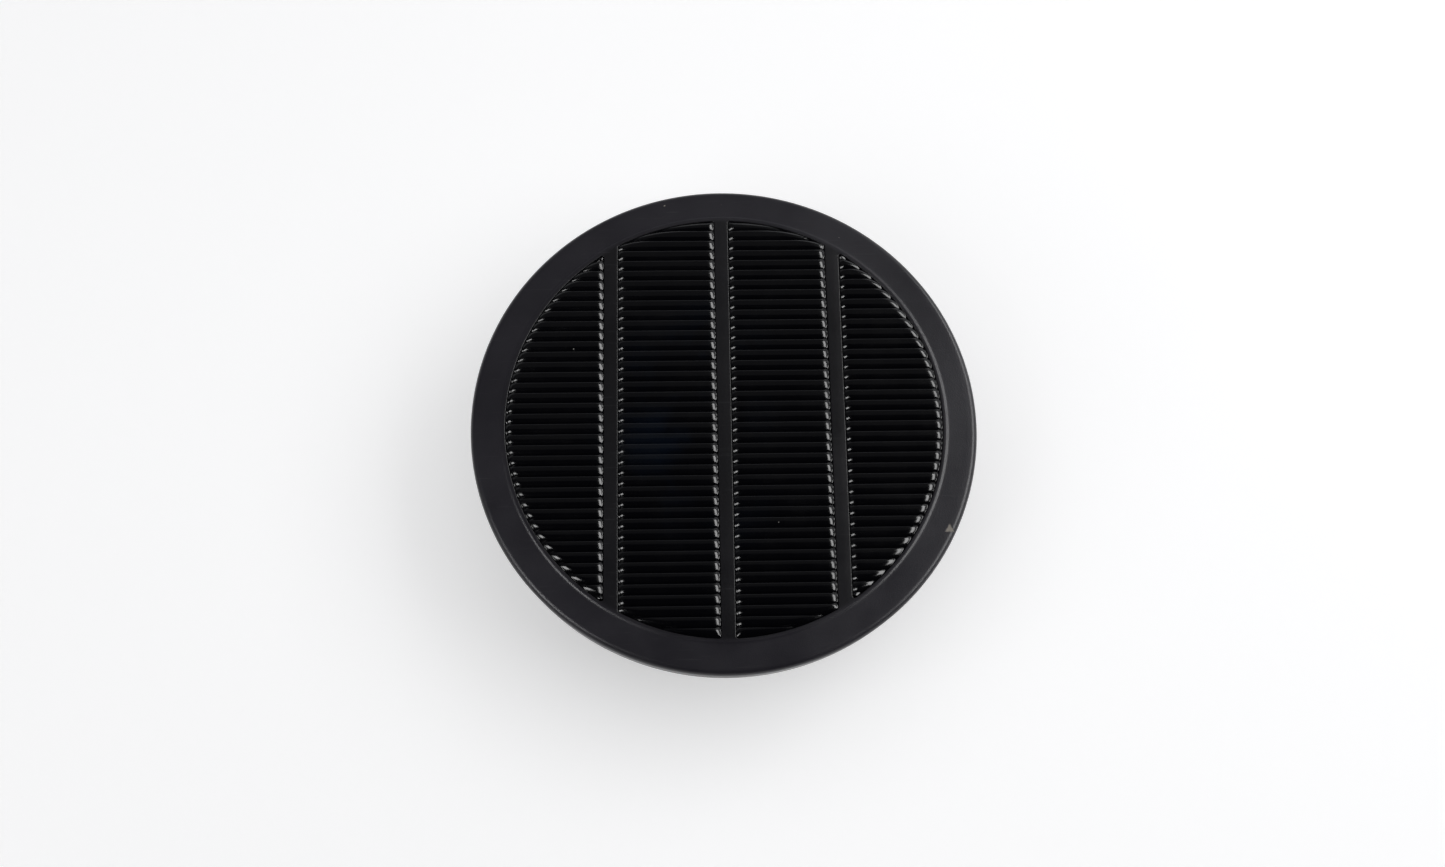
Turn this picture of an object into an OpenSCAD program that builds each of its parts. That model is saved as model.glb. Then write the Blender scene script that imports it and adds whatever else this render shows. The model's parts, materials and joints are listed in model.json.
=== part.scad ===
// Round solar roof vent fan.
// A ribbed solar cap stands on four spacers above a fan ring, and the ring slips over
// the collar of a roof flange. An axial fan with an external-rotor motor hangs from a
// spider bracket in the throat. Z = 0 is the roof face under the gasket, +Z points up,
// the switch faces -Y, and all sizes are in millimetres.

/* [Solar cap] */
// Diameter of the round window over the solar cells
window_d = 200; // [180:1:250]
// Width of the plain rim around the window
rim_w = 16; // [16:0.5:24]
// Drop from the window plane to the cap's widest edge
rim_drop = 4; // [3.5:0.5:6]
// Radius that rounds the cap's outer edge
edge_r = 3; // [2:0.5:3]
// Thickness of the cap moulding's top
cap_t = 3; // [2.6:0.2:4]
// Thickness of the cap's outer wall
skirt_t = 2.5; // [2:0.1:3]
// How far the outer wall hangs below the tray as a drip edge
drip_h = 1; // [0.5:0.5:4]

/* [Ribbed window] */
// Distance between the three bars, which is the width of one column of cells
column_pitch = 52; // [46:1:58]
// Width of each bar between two columns
bar_w = 6.4; // [5:0.2:9]
// Distance from one rib to the next
rib_pitch = 5; // [4:0.5:8]
// Depth of the valleys between ribs
rib_depth = 0.9; // [0.5:0.1:1.4]
// Height of the rib crests above the rim
rib_crest = 1.2; // [0.8:0.1:2]
// Thickness of the plate that carries the ribs
window_t = 1.8; // [1.4:0.2:3]
// Clearance between the ribs and the openings they stand in
window_gap = 0.3; // [0.2:0.05:0.6]
// Thickness of the seal under the rim
seal_t = 0.8; // [0.6:0.1:1.6]

/* [Solar panel] */
// Distance from one row of cells to the next
cell_pitch = 25; // [20:1:32]
// Gap between neighbouring cells
cell_gap = 1; // [0.6:0.1:2]
// Thickness of a cell
cell_t = 0.4; // [0.3:0.05:0.6]
// Thickness of the round board under the cells
board_t = 1.6; // [1:0.2:2.4]
// Thickness of a bus ribbon
ribbon_t = 0.2; // [0.1:0.05:0.3]
// Width of a bus ribbon
ribbon_w = 3; // [2:0.5:4]

/* [Cap tray] */
// Thickness of the tray's floor
tray_t = 2; // [1.6:0.2:3]
// Height of the space for leads between the tray and the board
cavity_h = 4.2; // [4.2:0.1:8]
// Clearance between the tray and the cap's outer wall
tray_gap = 0.4; // [0.3:0.1:0.8]
// Number of screws that hold the tray to the cap
tray_screw_count = 8; // [6:2:12]

/* [Roof flange] */
// Diameter of the air throat
throat_d = 144; // [118:1:150]
// Wall of the collar and of the spigot below the roof
collar_t = 3; // [2.4:0.2:4]
// Width of the flange outside the collar
flange_w = 25; // [22:1:32]
// Thickness of the flange plate
flange_t = 3; // [2:0.5:5]
// Height of the collar above the flange plate
collar_h = 9; // [9:0.5:16]
// Length of the spigot below the roof face
spigot_h = 14; // [14:1:40]
// Thickness of the foam gasket
gasket_t = 3; // [2:0.5:6]
// Number of roof screws
roof_screw_count = 6; // [6:6:12]
// Diameter of the roof screw holes
roof_hole_d = 5.2; // [4.2:0.1:6.4]

/* [Fan ring] */
// Wall of the ring that slips over the collar
ring_t = 3; // [2.4:0.2:4]
// Clearance between the ring and the collar
slip_gap = 0.4; // [0.3:0.1:0.8]
// Thickness of the ledge on top of the ring
ledge_t = 3; // [2.5:0.5:5]
// Height of the air outlet between the ledge and the tray
outlet_h = 17; // [15:1:30]
// Outside diameter of the four spacers
spacer_d = 9; // [8:0.5:11]
// Number of slots in the insect screen
slot_count = 72; // [48:4:80]
// Width of a screen slot
slot_w = 3.2; // [2:0.2:3.4]

/* [Fan] */
// Radial clearance between the blade tips and the throat
tip_gap = 4.5; // [3:0.5:8]
// Number of blades
blade_count = 7; // [5:1:7]
// Pitch of the blades in degrees
blade_pitch = 20; // [12:1:22]
// Thickness of a blade
blade_t = 2; // [1.4:0.2:2.6]
// Outside diameter of the fan's hub
hub_d = 46.8; // [46.4:0.2:50]
// Height of the hub cup
hub_h = 17; // [16.5:0.5:17]
// Diameter of the motor shaft
shaft_d = 3; // [2.6:0.1:3.2]
// Radial running clearance of the shaft in its bearings
shaft_fit = 0.03; // [0.02:0.01:0.08]
// Number of stator teeth
tooth_count = 9; // [6:3:9]

/* [Guard] */
// Thickness of the guard
guard_t = 2.5; // [2:0.5:3.5]
// Distance from one guard ring to the next
guard_pitch = 5.5; // [4.6:0.1:5.6]
// Width of a guard ring
guard_ring_w = 1.8; // [1.4:0.2:2.4]
// Number of guard spokes
spoke_count = 8; // [4:4:12]

/* [Switch] */
// Width of the switch's front frame
switch_w = 15; // [14:0.5:18]
// Height of the switch's front frame
switch_h = 10.5; // [10:0.1:10.5]
// Depth of the switch behind its frame
switch_depth = 10; // [9:0.5:11]
// Tilt of the rocker to either side in degrees
rocker_tilt = 9; // [6:1:10]

/* [Hidden] */

$fn = 96;
eps = 0.01;
over = 1;
fit = 0.05;

// Heights, from the roof face up
seat_gap = 1;
flange_z = gasket_t;
flange_top = flange_z + flange_t;
collar_top = flange_top + collar_h;
ring_z = flange_top + seat_gap;
ledge_z = collar_top + seat_gap;
collar_screw_z = (ring_z + ledge_z) / 2 - 0.5;
ledge_top = ledge_z + ledge_t;
tray_z = ledge_top + outlet_h;
tray_top = tray_z + tray_t;
board_z = tray_top + cavity_h;
cell_z = board_z + board_t;
cell_air = 0.2;
window_z = cell_z + cell_t + cell_air;
plate_top = window_z + window_t;
rim_under = plate_top + seal_t;
rim_top = rim_under + cap_t;
edge_z = rim_top - rim_drop;
skirt_z = tray_z - drip_h;

// Radii
window_r = window_d / 2;
cap_r = window_r + rim_w;
skirt_in_r = cap_r - skirt_t;
tray_r = skirt_in_r - tray_gap;
plate_lap = 3.4;
plate_r = window_r + plate_lap;
board_lap = 1;
board_r = window_r + board_lap;
board_gap = 0.4;
wall_in_r = board_r + board_gap;
board_rest_r = window_r - 2;
board_rest_w = 3;
cap_boss_r = 3.4;
cap_boss_pos = window_r + rim_w / 2;
throat_r = throat_d / 2;
collar_r = throat_r + collar_t;
ring_in_r = collar_r + slip_gap;
ring_r = ring_in_r + ring_t;
flange_r = collar_r + flange_w;
roof_screw_pos = collar_r + 15;
roof_pad_w = 3;
roof_pad_h = 0.6;
post_offset = 7.6;
post_pos = ring_r + post_offset;
lug_wall = 1.5;
lug_r = spacer_d / 2 + lug_wall;
lug_h = 6;
screen_offset = 4;
screen_r = throat_r + screen_offset;
screen_t = 0.8;
groove_gap = 0.3;
groove_depth = 1;

// Window columns: each bar stands at a multiple of the pitch
bars = [-1, 0, 1];
column_edges = [
  [-window_r - over, -column_pitch], [-column_pitch, 0],
  [0, column_pitch], [column_pitch, window_r + over]
];
rib_r = (pow(rib_pitch / 2, 2) + pow(rib_depth, 2)) / (2 * rib_depth);
rib_count = 2 * ceil(window_r / rib_pitch);
cell_r = window_r - 1;

// Screws
m25_shank_r = 1.2;
m25_head_r = 2.4;
m3_shank_r = 1.45;
m3_head_r = 2.8;
m4_shank_r = 1.95;
m4_head_r = 3.6;
hole_gap = 0.25;

// Tray fittings
tray_screw_bite = 6;
tray_lip_t = 1.3;
tray_lip_h = 3;
insert_r = 3.2;
insert_h = 4.8;
post_screw_bite = 4.4;
post_boss_r = 5;
grommet_x = 30;
grommet_hole_r = 6;
thermostat_x = -45;
thermostat_r = 7.9;
thermostat_cup_h = 3;
thermostat_rim_w = 3;
thermostat_rim_t = 1;
tab_w = 3;
tab_t = 0.6;
tab_y = 4;
tab_end_x = thermostat_x + 11;
lead_r = 0.8;
low_lead_z = tray_top + 1.3;
high_lead_z = board_z - 1;
junction_size = [22, 14, 3.4];
junction_y = -30;

// Switch pod under the tray
pod_wall = 1.6;
pod_w = switch_w + 2 * pod_wall;
pod_inset = 12;
pod_len = 24;
pod_front = cap_r - pod_inset;
pod_back = pod_front - pod_len;
switch_top_gap = 0.3;
switch_gap = 0.1;
switch_z = tray_z - switch_top_gap - switch_h / 2;
frame_lap = 1;
switch_body_w = switch_w - 2 * frame_lap;
switch_body_h = switch_h - 1.9 * frame_lap;
pod_h = tray_z - switch_z + switch_body_h / 2 + 2 * switch_gap + pod_wall;
frame_t = 1.5;
rocker_w = 10.4;
rocker_h = 6.6;
rocker_room = 0.6;
rocker_room_h = 0.25;
rocker_back = 1.5;
rocker_dip = 3.1;
rocker_pin_r = 0.8;
rocker_pin_l = 7.4;
rocker_pin_gap = 0.1;
rocker_pin_y = -pod_front + 0.4;
terminal_x = 3.5;
terminal_len = 5;

// Fan and motor, hung from the bracket on the ledge
bracket_t = 2;
bracket_top = ledge_top + bracket_t;
bracket_disc_r = 27;
arm_w = 9;
foot_r = 5;
foot_pos = throat_r - 2.5;
lead_hole_x = 16;
lead_hole_r = 3.2;
tube_flange_r = 10;
tube_flange_t = 1.8;
tube_r = 6;
tube_low = ledge_top - 18.2;
bearing_r = 4;
bearing_h = 4;
bearing_low = 0.2;
bearing_high = 11.2;
bearing_shoulder_r = 3.2;
board_top = ledge_top - tube_flange_t;
driver_t = 1.6;
driver_r = 24;
hub_r = hub_d / 2;
hub_top = ledge_top - 5;
hub_low = hub_top - hub_h;
hub_floor = 2;
yoke_r = 21;
yoke_t = 1;
yoke_floor = hub_low + hub_floor;
magnet_in_r = 17;
air_gap = 0.5;
stator_r = magnet_in_r - air_gap;
stator_h = 8;
stator_z = yoke_floor + 4;
tooth_w = 2.6;
tip_r = throat_r - tip_gap;
blade_mid_z = hub_low + 8;
blade_camber_r = 70;
blade_root = 20;
blade_lead = 19;
blade_trail = -13;
shaft_r = shaft_d / 2;
washer_r = 3;
clip_z = tube_low + bearing_high + bearing_h + 0.2;
clip_t = 0.5;
clip_groove = 0.3;

// Guard
guard_z = 2 - spigot_h;
guard_top = guard_z + guard_t;
guard_disc_r = 14;
guard_fit = 0.5;
guard_screw_pos = throat_r - 3;
guard_band_r = throat_r - 5.5;
guard_boss_r = 3.6;
guard_boss_h = 4.6;
spoke_w = 2;

// Lead routes, each from its start to its end
lead_steps = 4;
grommet_low_route = [
  [grommet_x, 0, tray_top], [grommet_x, 0, tray_z - 2], [grommet_x - 3, 0, tray_z - 6],
  [lead_hole_x + 3, 0, bracket_top + 5], [lead_hole_x, 0, bracket_top + 1],
  [lead_hole_x, 0, board_top]
];
lead_side = 1.1;
junction_lead = [
  [tab_end_x, -tab_y, low_lead_z], [-29, -tab_y, low_lead_z], [-24, -10, low_lead_z],
  [-21, -20, low_lead_z], [-17, -28, low_lead_z], [-11, junction_y, low_lead_z]
];
thermostat_lead = [
  [tab_end_x, tab_y, low_lead_z], [-30, tab_y, low_lead_z + 0.3], [-25, 2, high_lead_z],
  [-21, -8, high_lead_z], [-20, -26, high_lead_z], [-17, -46, high_lead_z],
  [-9, -64, high_lead_z], [-terminal_x, -pod_back + 3, low_lead_z + 0.4],
  [-terminal_x, -pod_back - 2.4, low_lead_z + 0.2], [-terminal_x, -pod_back - 4.4, tray_top - 1],
  [-terminal_x, -pod_back - 5, switch_z + 4], [-terminal_x, -pod_back - 6.6, switch_z + 0.6],
  [-terminal_x, -pod_front + switch_depth + terminal_len, switch_z]
];
switch_lead = [
  [terminal_x, -pod_front + switch_depth + terminal_len, switch_z],
  [terminal_x, -pod_back - 6.6, switch_z + 0.6], [terminal_x, -pod_back - 5, switch_z + 4],
  [terminal_x, -pod_back - 4.4, tray_top - 1], [terminal_x, -pod_back - 2.4, low_lead_z + 0.2],
  [terminal_x, -pod_back + 3, low_lead_z + 0.4],
  [12, -62, low_lead_z], [24, -38, low_lead_z], [grommet_x, -18, low_lead_z + 0.4],
  [grommet_x, -7, board_z - 1.3], [grommet_x, -2.6, board_z - 1.6]
];
return_lead = [
  [11, junction_y, low_lead_z], [15, junction_y + 1, low_lead_z], [19, -20, low_lead_z],
  [19, -4, low_lead_z], [20, 9, low_lead_z + 0.4], [27, 12, board_z - 1.3],
  [grommet_x, 7, board_z - 1.3], [grommet_x, 2.6, board_z - 1.6]
];

module at_circle(count, radius, start = 0) {
  for (i = [0 : count - 1]) {
    rotate([0, 0, start + i * 360 / count]) translate([radius, 0, 0]) children();
  }
}

module tube(outer, inner, low, high) {
  translate([0, 0, low]) linear_extrude(high - low) difference() {
    circle(outer);
    circle(inner);
  }
}

module disc(radius, low, high) {
  translate([0, 0, low]) cylinder(r = radius, h = high - low);
}

module block(x, y, z) {
  translate([x[0], y[0], z[0]]) cube([x[1] - x[0], y[1] - y[0], z[1] - z[0]]);
}

// A screw with a round head and a cross recess; the head's seat is at z = 0
module screw(shank_r, head_r, head_h, length) {
  recess_w = head_r * 0.35;
  recess_l = head_r * 1.2;
  difference() {
    union() {
      translate([0, 0, -head_h]) cylinder(r = head_r, h = head_h);
      translate([0, 0, -eps]) cylinder(r = shank_r, h = length + eps);
    }
    for (turn = [0, 90]) rotate([0, 0, turn]) {
      translate([-recess_l / 2, -recess_w / 2, -head_h - over])
        cube([recess_l, recess_w, head_h * 0.5 + over]);
    }
  }
}

// Smooth points through a list of places, by the Catmull-Rom rule
function bend(a, b, c, d, t) = 0.5 * (2 * b + (c - a) * t + (2 * a - 5 * b + 4 * c - d) * t * t
  + (3 * b - a - 3 * c + d) * t * t * t);
function smooth(p) = let (n = len(p)) [
  for (i = [0 : n - 2]) for (k = [0 : lead_steps - 1])
    bend(p[max(i - 1, 0)], p[i], p[i + 1], p[min(i + 2, n - 1)], k / lead_steps),
  p[n - 1]
];
function unit(v) = v / norm(v);
function heading(p, i) = unit(p[min(i + 1, len(p) - 1)] - p[max(i - 1, 0)]);
function sides_of(p, i, last) = i == len(p) ? [] : let (
  t = heading(p, i),
  side = unit(last - (last * t) * t)
) concat([[t, side]], sides_of(p, i + 1, side));

// A round lead swept along a route
module lead(route, radius = lead_r, sides = 8) {
  path = smooth(route);
  count = len(path);
  frames = sides_of(path, 0, [0.31, 0.22, 0.93]);
  points = [for (i = [0 : count - 1]) for (k = [0 : sides - 1]) let (
    a = 360 * k / sides, t = frames[i][0], s = frames[i][1]
  ) path[i] + radius * (cos(a) * s + sin(a) * cross(t, s))];
  walls = [for (i = [0 : count - 2]) for (k = [0 : sides - 1]) let (
    a = i * sides + k, b = i * sides + (k + 1) % sides
  ) [a, b, b + sides, a + sides]];
  first = [for (k = [sides - 1 : -1 : 0]) k];
  last = [for (k = [0 : sides - 1]) (count - 1) * sides + k];
  polyhedron(points, concat(walls, [first], [last]));
}

// Plan of the four columns, inside a circle and set back from the bars
module columns(radius, setback) {
  intersection() {
    circle(radius);
    for (c = column_edges) {
      translate([c[0] + bar_w / 2 + setback, -window_r - over])
        square([c[1] - c[0] - bar_w - 2 * setback, 2 * (window_r + over)]);
    }
  }
}

// Half section of the cap moulding: top, sloping rim, rounded edge and outer wall
module cap_section() {
  difference() {
    union() {
      polygon([
        [0, rim_under - over], [0, rim_top], [window_r, rim_top],
        [cap_r - edge_r, edge_z + edge_r], [cap_r - edge_r, edge_z],
        [cap_r, edge_z], [cap_r, skirt_z], [skirt_in_r - over, skirt_z]
      ]);
      translate([cap_r - edge_r, edge_z]) intersection() {
        circle(edge_r);
        square(edge_r);
      }
    }
    translate([-over, skirt_z - over]) square([skirt_in_r + over, rim_under - skirt_z + over]);
  }
}

module cap_cover() {
  color("#26252b") difference() {
    union() {
      rotate_extrude() cap_section();
      at_circle(tray_screw_count, cap_boss_pos, 180 / tray_screw_count)
        disc(cap_boss_r, tray_top, rim_under + over);
    }
    translate([0, 0, rim_under - over]) linear_extrude(cap_t + 2 * over) columns(window_r, 0);
    at_circle(tray_screw_count, cap_boss_pos, 180 / tray_screw_count)
      disc(m25_shank_r + fit, tray_top - over, rim_under - over);
  }
}

// Section of the ribs, seen along them
module rib_section() {
  base = rim_top + rib_crest - rib_depth;
  intersection() {
    union() {
      translate([-window_r - over, plate_top - over])
        square([2 * (window_r + over), base - plate_top + over]);
      for (i = [0 : rib_count - 1]) {
        translate([(i + 0.5 - rib_count / 2) * rib_pitch, rim_top + rib_crest - rib_r])
          circle(rib_r);
      }
    }
    translate([-window_r - over, plate_top - over])
      square([2 * (window_r + over), rim_top + rib_crest]);
  }
}

module panel_window() {
  color("#0a0a10") {
    disc(plate_r, window_z, plate_top);
    intersection() {
      translate([0, 0, plate_top - over]) linear_extrude(rim_top) columns(window_r - window_gap, window_gap);
      rotate([90, 0, 90]) translate([0, 0, -window_r]) linear_extrude(window_d) rib_section();
    }
  }
}

module window_seal() {
  color("#1a1a1a") tube(plate_r - 0.1, window_r + 0.8, plate_top, rim_under);
}

module cell_row(low_x, high_x, first_row, last_row) {
  intersection() {
    disc(cell_r, cell_z, cell_z + cell_t);
    for (row = [first_row : last_row]) {
      block([low_x, high_x], [row * cell_pitch + cell_gap / 2, (row + 1) * cell_pitch - cell_gap / 2],
        [cell_z - over, cell_z + cell_t + over]);
    }
  }
}

module cells_inner() {
  inset = bar_w / 2 + cell_gap;
  rows = floor(cell_r / cell_pitch + 0.4);
  color("#0b1020") for (side = [0, 1]) mirror([side, 0, 0])
    cell_row(inset, column_pitch - inset, -rows, rows - 1);
}

module cells_outer() {
  inset = bar_w / 2 + cell_gap;
  rows = floor(sqrt(pow(cell_r, 2) - pow(column_pitch + inset, 2)) / cell_pitch);
  color("#0b1020") for (side = [0, 1]) mirror([side, 0, 0])
    cell_row(column_pitch + inset, cell_r, -rows, rows - 1);
}

module cell_board() {
  color("#1d2b22") disc(board_r, board_z, cell_z);
}

module bus_ribbons() {
  color("#b9bcc2") for (bar = bars) {
    half = sqrt(pow(cell_r, 2) - pow(bar * column_pitch, 2)) - 3;
    block([bar * column_pitch - ribbon_w / 2, bar * column_pitch + ribbon_w / 2], [-half, half],
      [cell_z, cell_z + ribbon_t]);
  }
}

module panel_junction() {
  color("#202024") block([-junction_size[0] / 2, junction_size[0] / 2],
    [junction_y - junction_size[1] / 2, junction_y + junction_size[1] / 2],
    [board_z - junction_size[2], board_z]);
}

module cap_tray() {
  color("#222228") difference() {
    union() {
      disc(tray_r, tray_z, tray_top);
      tube(plate_r, wall_in_r, tray_top - eps, window_z);
      tube(board_rest_r, board_rest_r - board_rest_w, tray_top - eps, board_z);
      tube(tray_r, tray_r - tray_lip_t, tray_top - eps, tray_top + tray_lip_h);
      at_circle(4, post_pos, 45) disc(post_boss_r, tray_top - eps, board_z - 0.2);
      block([-pod_w / 2, pod_w / 2], [-pod_front, -pod_back], [tray_z - pod_h, tray_z + eps]);
    }
    tube(screen_r + screen_t + groove_gap, screen_r - groove_gap, tray_z - over, tray_z + groove_depth);
    at_circle(4, post_pos, 45) disc(insert_r, tray_z - over, tray_z + insert_h + 0.3);
    at_circle(tray_screw_count, cap_boss_pos, 180 / tray_screw_count)
      disc(m25_shank_r + hole_gap, tray_z - over, tray_top + over);
    translate([thermostat_x, 0, 0]) disc(thermostat_r + 0.1, tray_z - over, tray_top + over);
    translate([grommet_x, 0, 0]) disc(grommet_hole_r, tray_z - over, tray_top + over);
    block([-pod_w / 2 + pod_wall, pod_w / 2 - pod_wall], [-pod_front + pod_wall, -pod_back - pod_wall],
      [tray_z - pod_h + pod_wall, tray_z + eps]);
    block([-pod_w / 2 + pod_wall, pod_w / 2 - pod_wall],
      [-pod_front + switch_depth, -pod_back - pod_wall], [tray_z - over, tray_top + over]);
    block([-switch_body_w / 2 - switch_gap, switch_body_w / 2 + switch_gap],
      [-pod_front - over, -pod_front + pod_wall + over],
      [switch_z - switch_body_h / 2 - switch_gap, switch_z + switch_body_h / 2 + switch_gap]);
  }
}

module tray_screws() {
  color("#8d9096") at_circle(tray_screw_count, cap_boss_pos, 180 / tray_screw_count)
    translate([0, 0, tray_z]) screw(m25_shank_r, m25_head_r, 1.7, tray_t + tray_screw_bite);
}

module threaded_inserts() {
  color("#b5904a") at_circle(4, post_pos, 45)
    tube(insert_r - 0.02, m4_shank_r + fit, tray_z, tray_z + insert_h);
}

module switch_body() {
  cavity_w = rocker_w + 2 * rocker_room;
  cavity_h = rocker_h + 2 * rocker_room_h;
  pin_hole_l = rocker_pin_l + 2 * rocker_pin_gap;
  color("#1b1b1e") difference() {
    union() {
      block([-switch_w / 2, switch_w / 2], [-pod_front - frame_t, -pod_front],
        [switch_z - switch_h / 2, switch_z + switch_h / 2]);
      block([-switch_body_w / 2, switch_body_w / 2], [-pod_front - eps, -pod_front + switch_depth],
        [switch_z - switch_body_h / 2, switch_z + switch_body_h / 2]);
    }
    block([-cavity_w / 2, cavity_w / 2], [-pod_front - frame_t - over, rocker_pin_y + rocker_dip],
      [switch_z - cavity_h / 2, switch_z + cavity_h / 2]);
    translate([0, rocker_pin_y, switch_z - pin_hole_l / 2]) cylinder(r = rocker_pin_r + fit, h = pin_hole_l);
  }
}

module switch_terminals() {
  color("#c9b06a") for (side = [-1, 1]) {
    block([side * terminal_x - 1.4, side * terminal_x + 1.4],
      [-pod_front + switch_depth, -pod_front + switch_depth + terminal_len],
      [switch_z - 0.3, switch_z + 0.3]);
  }
}

// The rocker in its off position, its pin along Z
module switch_rocker() {
  crown = 2.2;
  crown_end = crown + 0.9;
  color("#2c2c30") translate([0, rocker_pin_y, switch_z]) rotate([0, 0, -rocker_tilt]) {
    translate([0, 0, -rocker_h / 2]) linear_extrude(rocker_h) polygon([
      [-rocker_w / 2, rocker_back], [-rocker_w / 2, -crown_end], [0, -crown],
      [rocker_w / 2, -crown_end], [rocker_w / 2, rocker_back]
    ]);
    translate([0, 0, -rocker_pin_l / 2]) cylinder(r = rocker_pin_r, h = rocker_pin_l);
  }
}

module thermostat_cup() {
  color("#b9bbbf") translate([thermostat_x, 0, 0]) {
    disc(thermostat_r + thermostat_rim_w, tray_z - thermostat_rim_t, tray_z);
    disc(thermostat_r, tray_z - thermostat_cup_h, tray_z - thermostat_rim_t + eps);
  }
}

module thermostat_body() {
  color("#3a2a20") translate([thermostat_x, 0, 0]) disc(thermostat_r, tray_z, low_lead_z - tab_t / 2);
}

module thermostat_terminals() {
  color("#c9b06a") for (side = [-1, 1]) {
    block([thermostat_x - 2, tab_end_x], [side * tab_y - tab_w / 2, side * tab_y + tab_w / 2],
      [low_lead_z - tab_t / 2, low_lead_z + tab_t / 2]);
  }
}

module lead_grommet() {
  lip_r = grommet_hole_r + 2;
  bore_r = lead_side + lead_r + 0.3;
  color("#161616") translate([grommet_x, 0, 0]) {
    tube(grommet_hole_r - fit, bore_r, tray_z - eps, tray_top + eps);
    tube(lip_r, bore_r, tray_z - 1.2, tray_z);
    tube(lip_r, bore_r, tray_top, tray_top + 0.8);
  }
}

module panel_leads() {
  color("#8e1f1f") {
    lead(junction_lead);
    lead(thermostat_lead);
  }
}

module motor_leads() {
  color("#8e1f1f") lead(concat(switch_lead, [for (p = grommet_low_route) p - [0, lead_side, 0]]));
  color("#151515") lead(concat(return_lead, [for (p = grommet_low_route) p + [0, lead_side, 0]]));
}

module post_spacers() {
  color("#a9acb1") at_circle(4, post_pos, 45)
    tube(spacer_d / 2, m4_shank_r + hole_gap, ledge_top, tray_z);
}

module post_screws() {
  color("#8d9096") at_circle(4, post_pos, 45)
    translate([0, 0, ledge_top - lug_h])
      screw(m4_shank_r, m4_head_r, 2.6, lug_h + outlet_h + post_screw_bite);
}

module insect_screen() {
  band = 2.8;
  color("#3c3d40") difference() {
    tube(screen_r + screen_t, screen_r, ledge_top - groove_depth + 0.2, tray_z + groove_depth - 0.2);
    for (i = [0 : slot_count - 1]) rotate([0, 0, i * 360 / slot_count]) {
      block([screen_r - over, screen_r + screen_t + over], [-slot_w / 2, slot_w / 2],
        [ledge_top + band, tray_z - band]);
    }
  }
}

module fan_ring() {
  color("#2a2a30") difference() {
    union() {
      tube(ring_r, ring_in_r, ring_z, ledge_z + eps);
      tube(ring_r, throat_r, ledge_z, ledge_top);
      at_circle(4, post_pos, 45) {
        disc(lug_r, ledge_top - lug_h, ledge_top);
        block([ring_r - post_pos - ring_t / 2, 0], [-lug_r, lug_r], [ledge_top - lug_h, ledge_top]);
      }
      intersection() {
        disc(ring_in_r, ledge_z, ledge_top);
        at_circle(4, foot_pos) disc(foot_r, ledge_z, ledge_top);
      }
    }
    tube(screen_r + screen_t + groove_gap, screen_r - groove_gap, ledge_top - groove_depth, ledge_top + over);
    at_circle(4, post_pos, 45) disc(m4_shank_r + hole_gap, ring_z, ledge_top + over);
    at_circle(4, foot_pos) disc(m3_shank_r + fit, ledge_z - over, ledge_top + over);
    at_circle(4, 0) collar_hole(m4_shank_r + hole_gap);
  }
}

// A radial hole through the ring and collar walls, along +X
module collar_hole(radius) {
  translate([throat_r - over, 0, collar_screw_z]) rotate([0, 90, 0])
    cylinder(r = radius, h = ring_r - throat_r + 2 * over);
}

module collar_screws() {
  color("#8d9096") at_circle(4, 0) translate([ring_r, 0, collar_screw_z])
    rotate([0, -90, 0]) screw(m4_shank_r, m4_head_r, 2.4, ring_r - throat_r - 0.4);
}

module base_flange() {
  lip_w = 2;
  lip_gap = 0.8;
  color("#2a2a30") difference() {
    union() {
      tube(flange_r, throat_r + over, flange_z, flange_top);
      tube(flange_r, flange_r - lip_w, lip_gap, flange_z + eps);
      tube(collar_r, throat_r, -spigot_h, collar_top);
      at_circle(roof_screw_count, roof_screw_pos)
        disc(roof_hole_d / 2 + roof_pad_w, flange_top - eps, flange_top + roof_pad_h);
      intersection() {
        disc(throat_r + over, -spigot_h, 0);
        at_circle(4, guard_screw_pos, 45) disc(guard_boss_r, guard_top, guard_top + guard_boss_h);
      }
    }
    at_circle(roof_screw_count, roof_screw_pos) disc(roof_hole_d / 2, flange_z - over, flange_top + over);
    at_circle(4, 0) collar_hole(m4_shank_r + fit);
    at_circle(4, guard_screw_pos, 45)
      disc(m25_shank_r + fit, guard_top - over, guard_top + guard_boss_h - 0.8);
  }
}

module flange_gasket() {
  inner = collar_r + 3;
  outer = flange_r - 2.5;
  color("#18181a") difference() {
    tube(outer, inner, 0, gasket_t);
    at_circle(roof_screw_count, roof_screw_pos) disc(roof_hole_d / 2 + 0.2, -over, gasket_t + over);
  }
}

module motor_bracket() {
  bead_r = 1.6;
  color("#9a9da3") difference() {
    union() {
      disc(bracket_disc_r, ledge_top, bracket_top);
      for (turn = [0 : 90 : 270]) rotate([0, 0, turn]) {
        block([0, foot_pos], [-arm_w / 2, arm_w / 2], [ledge_top, bracket_top]);
        translate([foot_pos, 0, 0]) disc(foot_r, ledge_top, bracket_top);
        translate([bracket_disc_r - 4, 0, bracket_top]) intersection() {
          rotate([0, 90, 0]) cylinder(r = bead_r, h = foot_pos - bracket_disc_r - 6);
          translate([0, -bead_r, -over]) cube([throat_r, 2 * bead_r, bead_r + over]);
        }
      }
    }
    at_circle(4, foot_pos) disc(m3_shank_r + hole_gap, ledge_top - over, bracket_top + over);
    translate([lead_hole_x, 0, 0]) disc(lead_hole_r, ledge_top - over, bracket_top + over);
    disc(bearing_r, ledge_top - over, bracket_top + over);
  }
}

module bracket_screws() {
  color("#8d9096") at_circle(4, foot_pos) translate([0, 0, bracket_top]) rotate([180, 0, 0])
    screw(m3_shank_r, m3_head_r, 1.8, bracket_t + ledge_t - 0.2);
}

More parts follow.
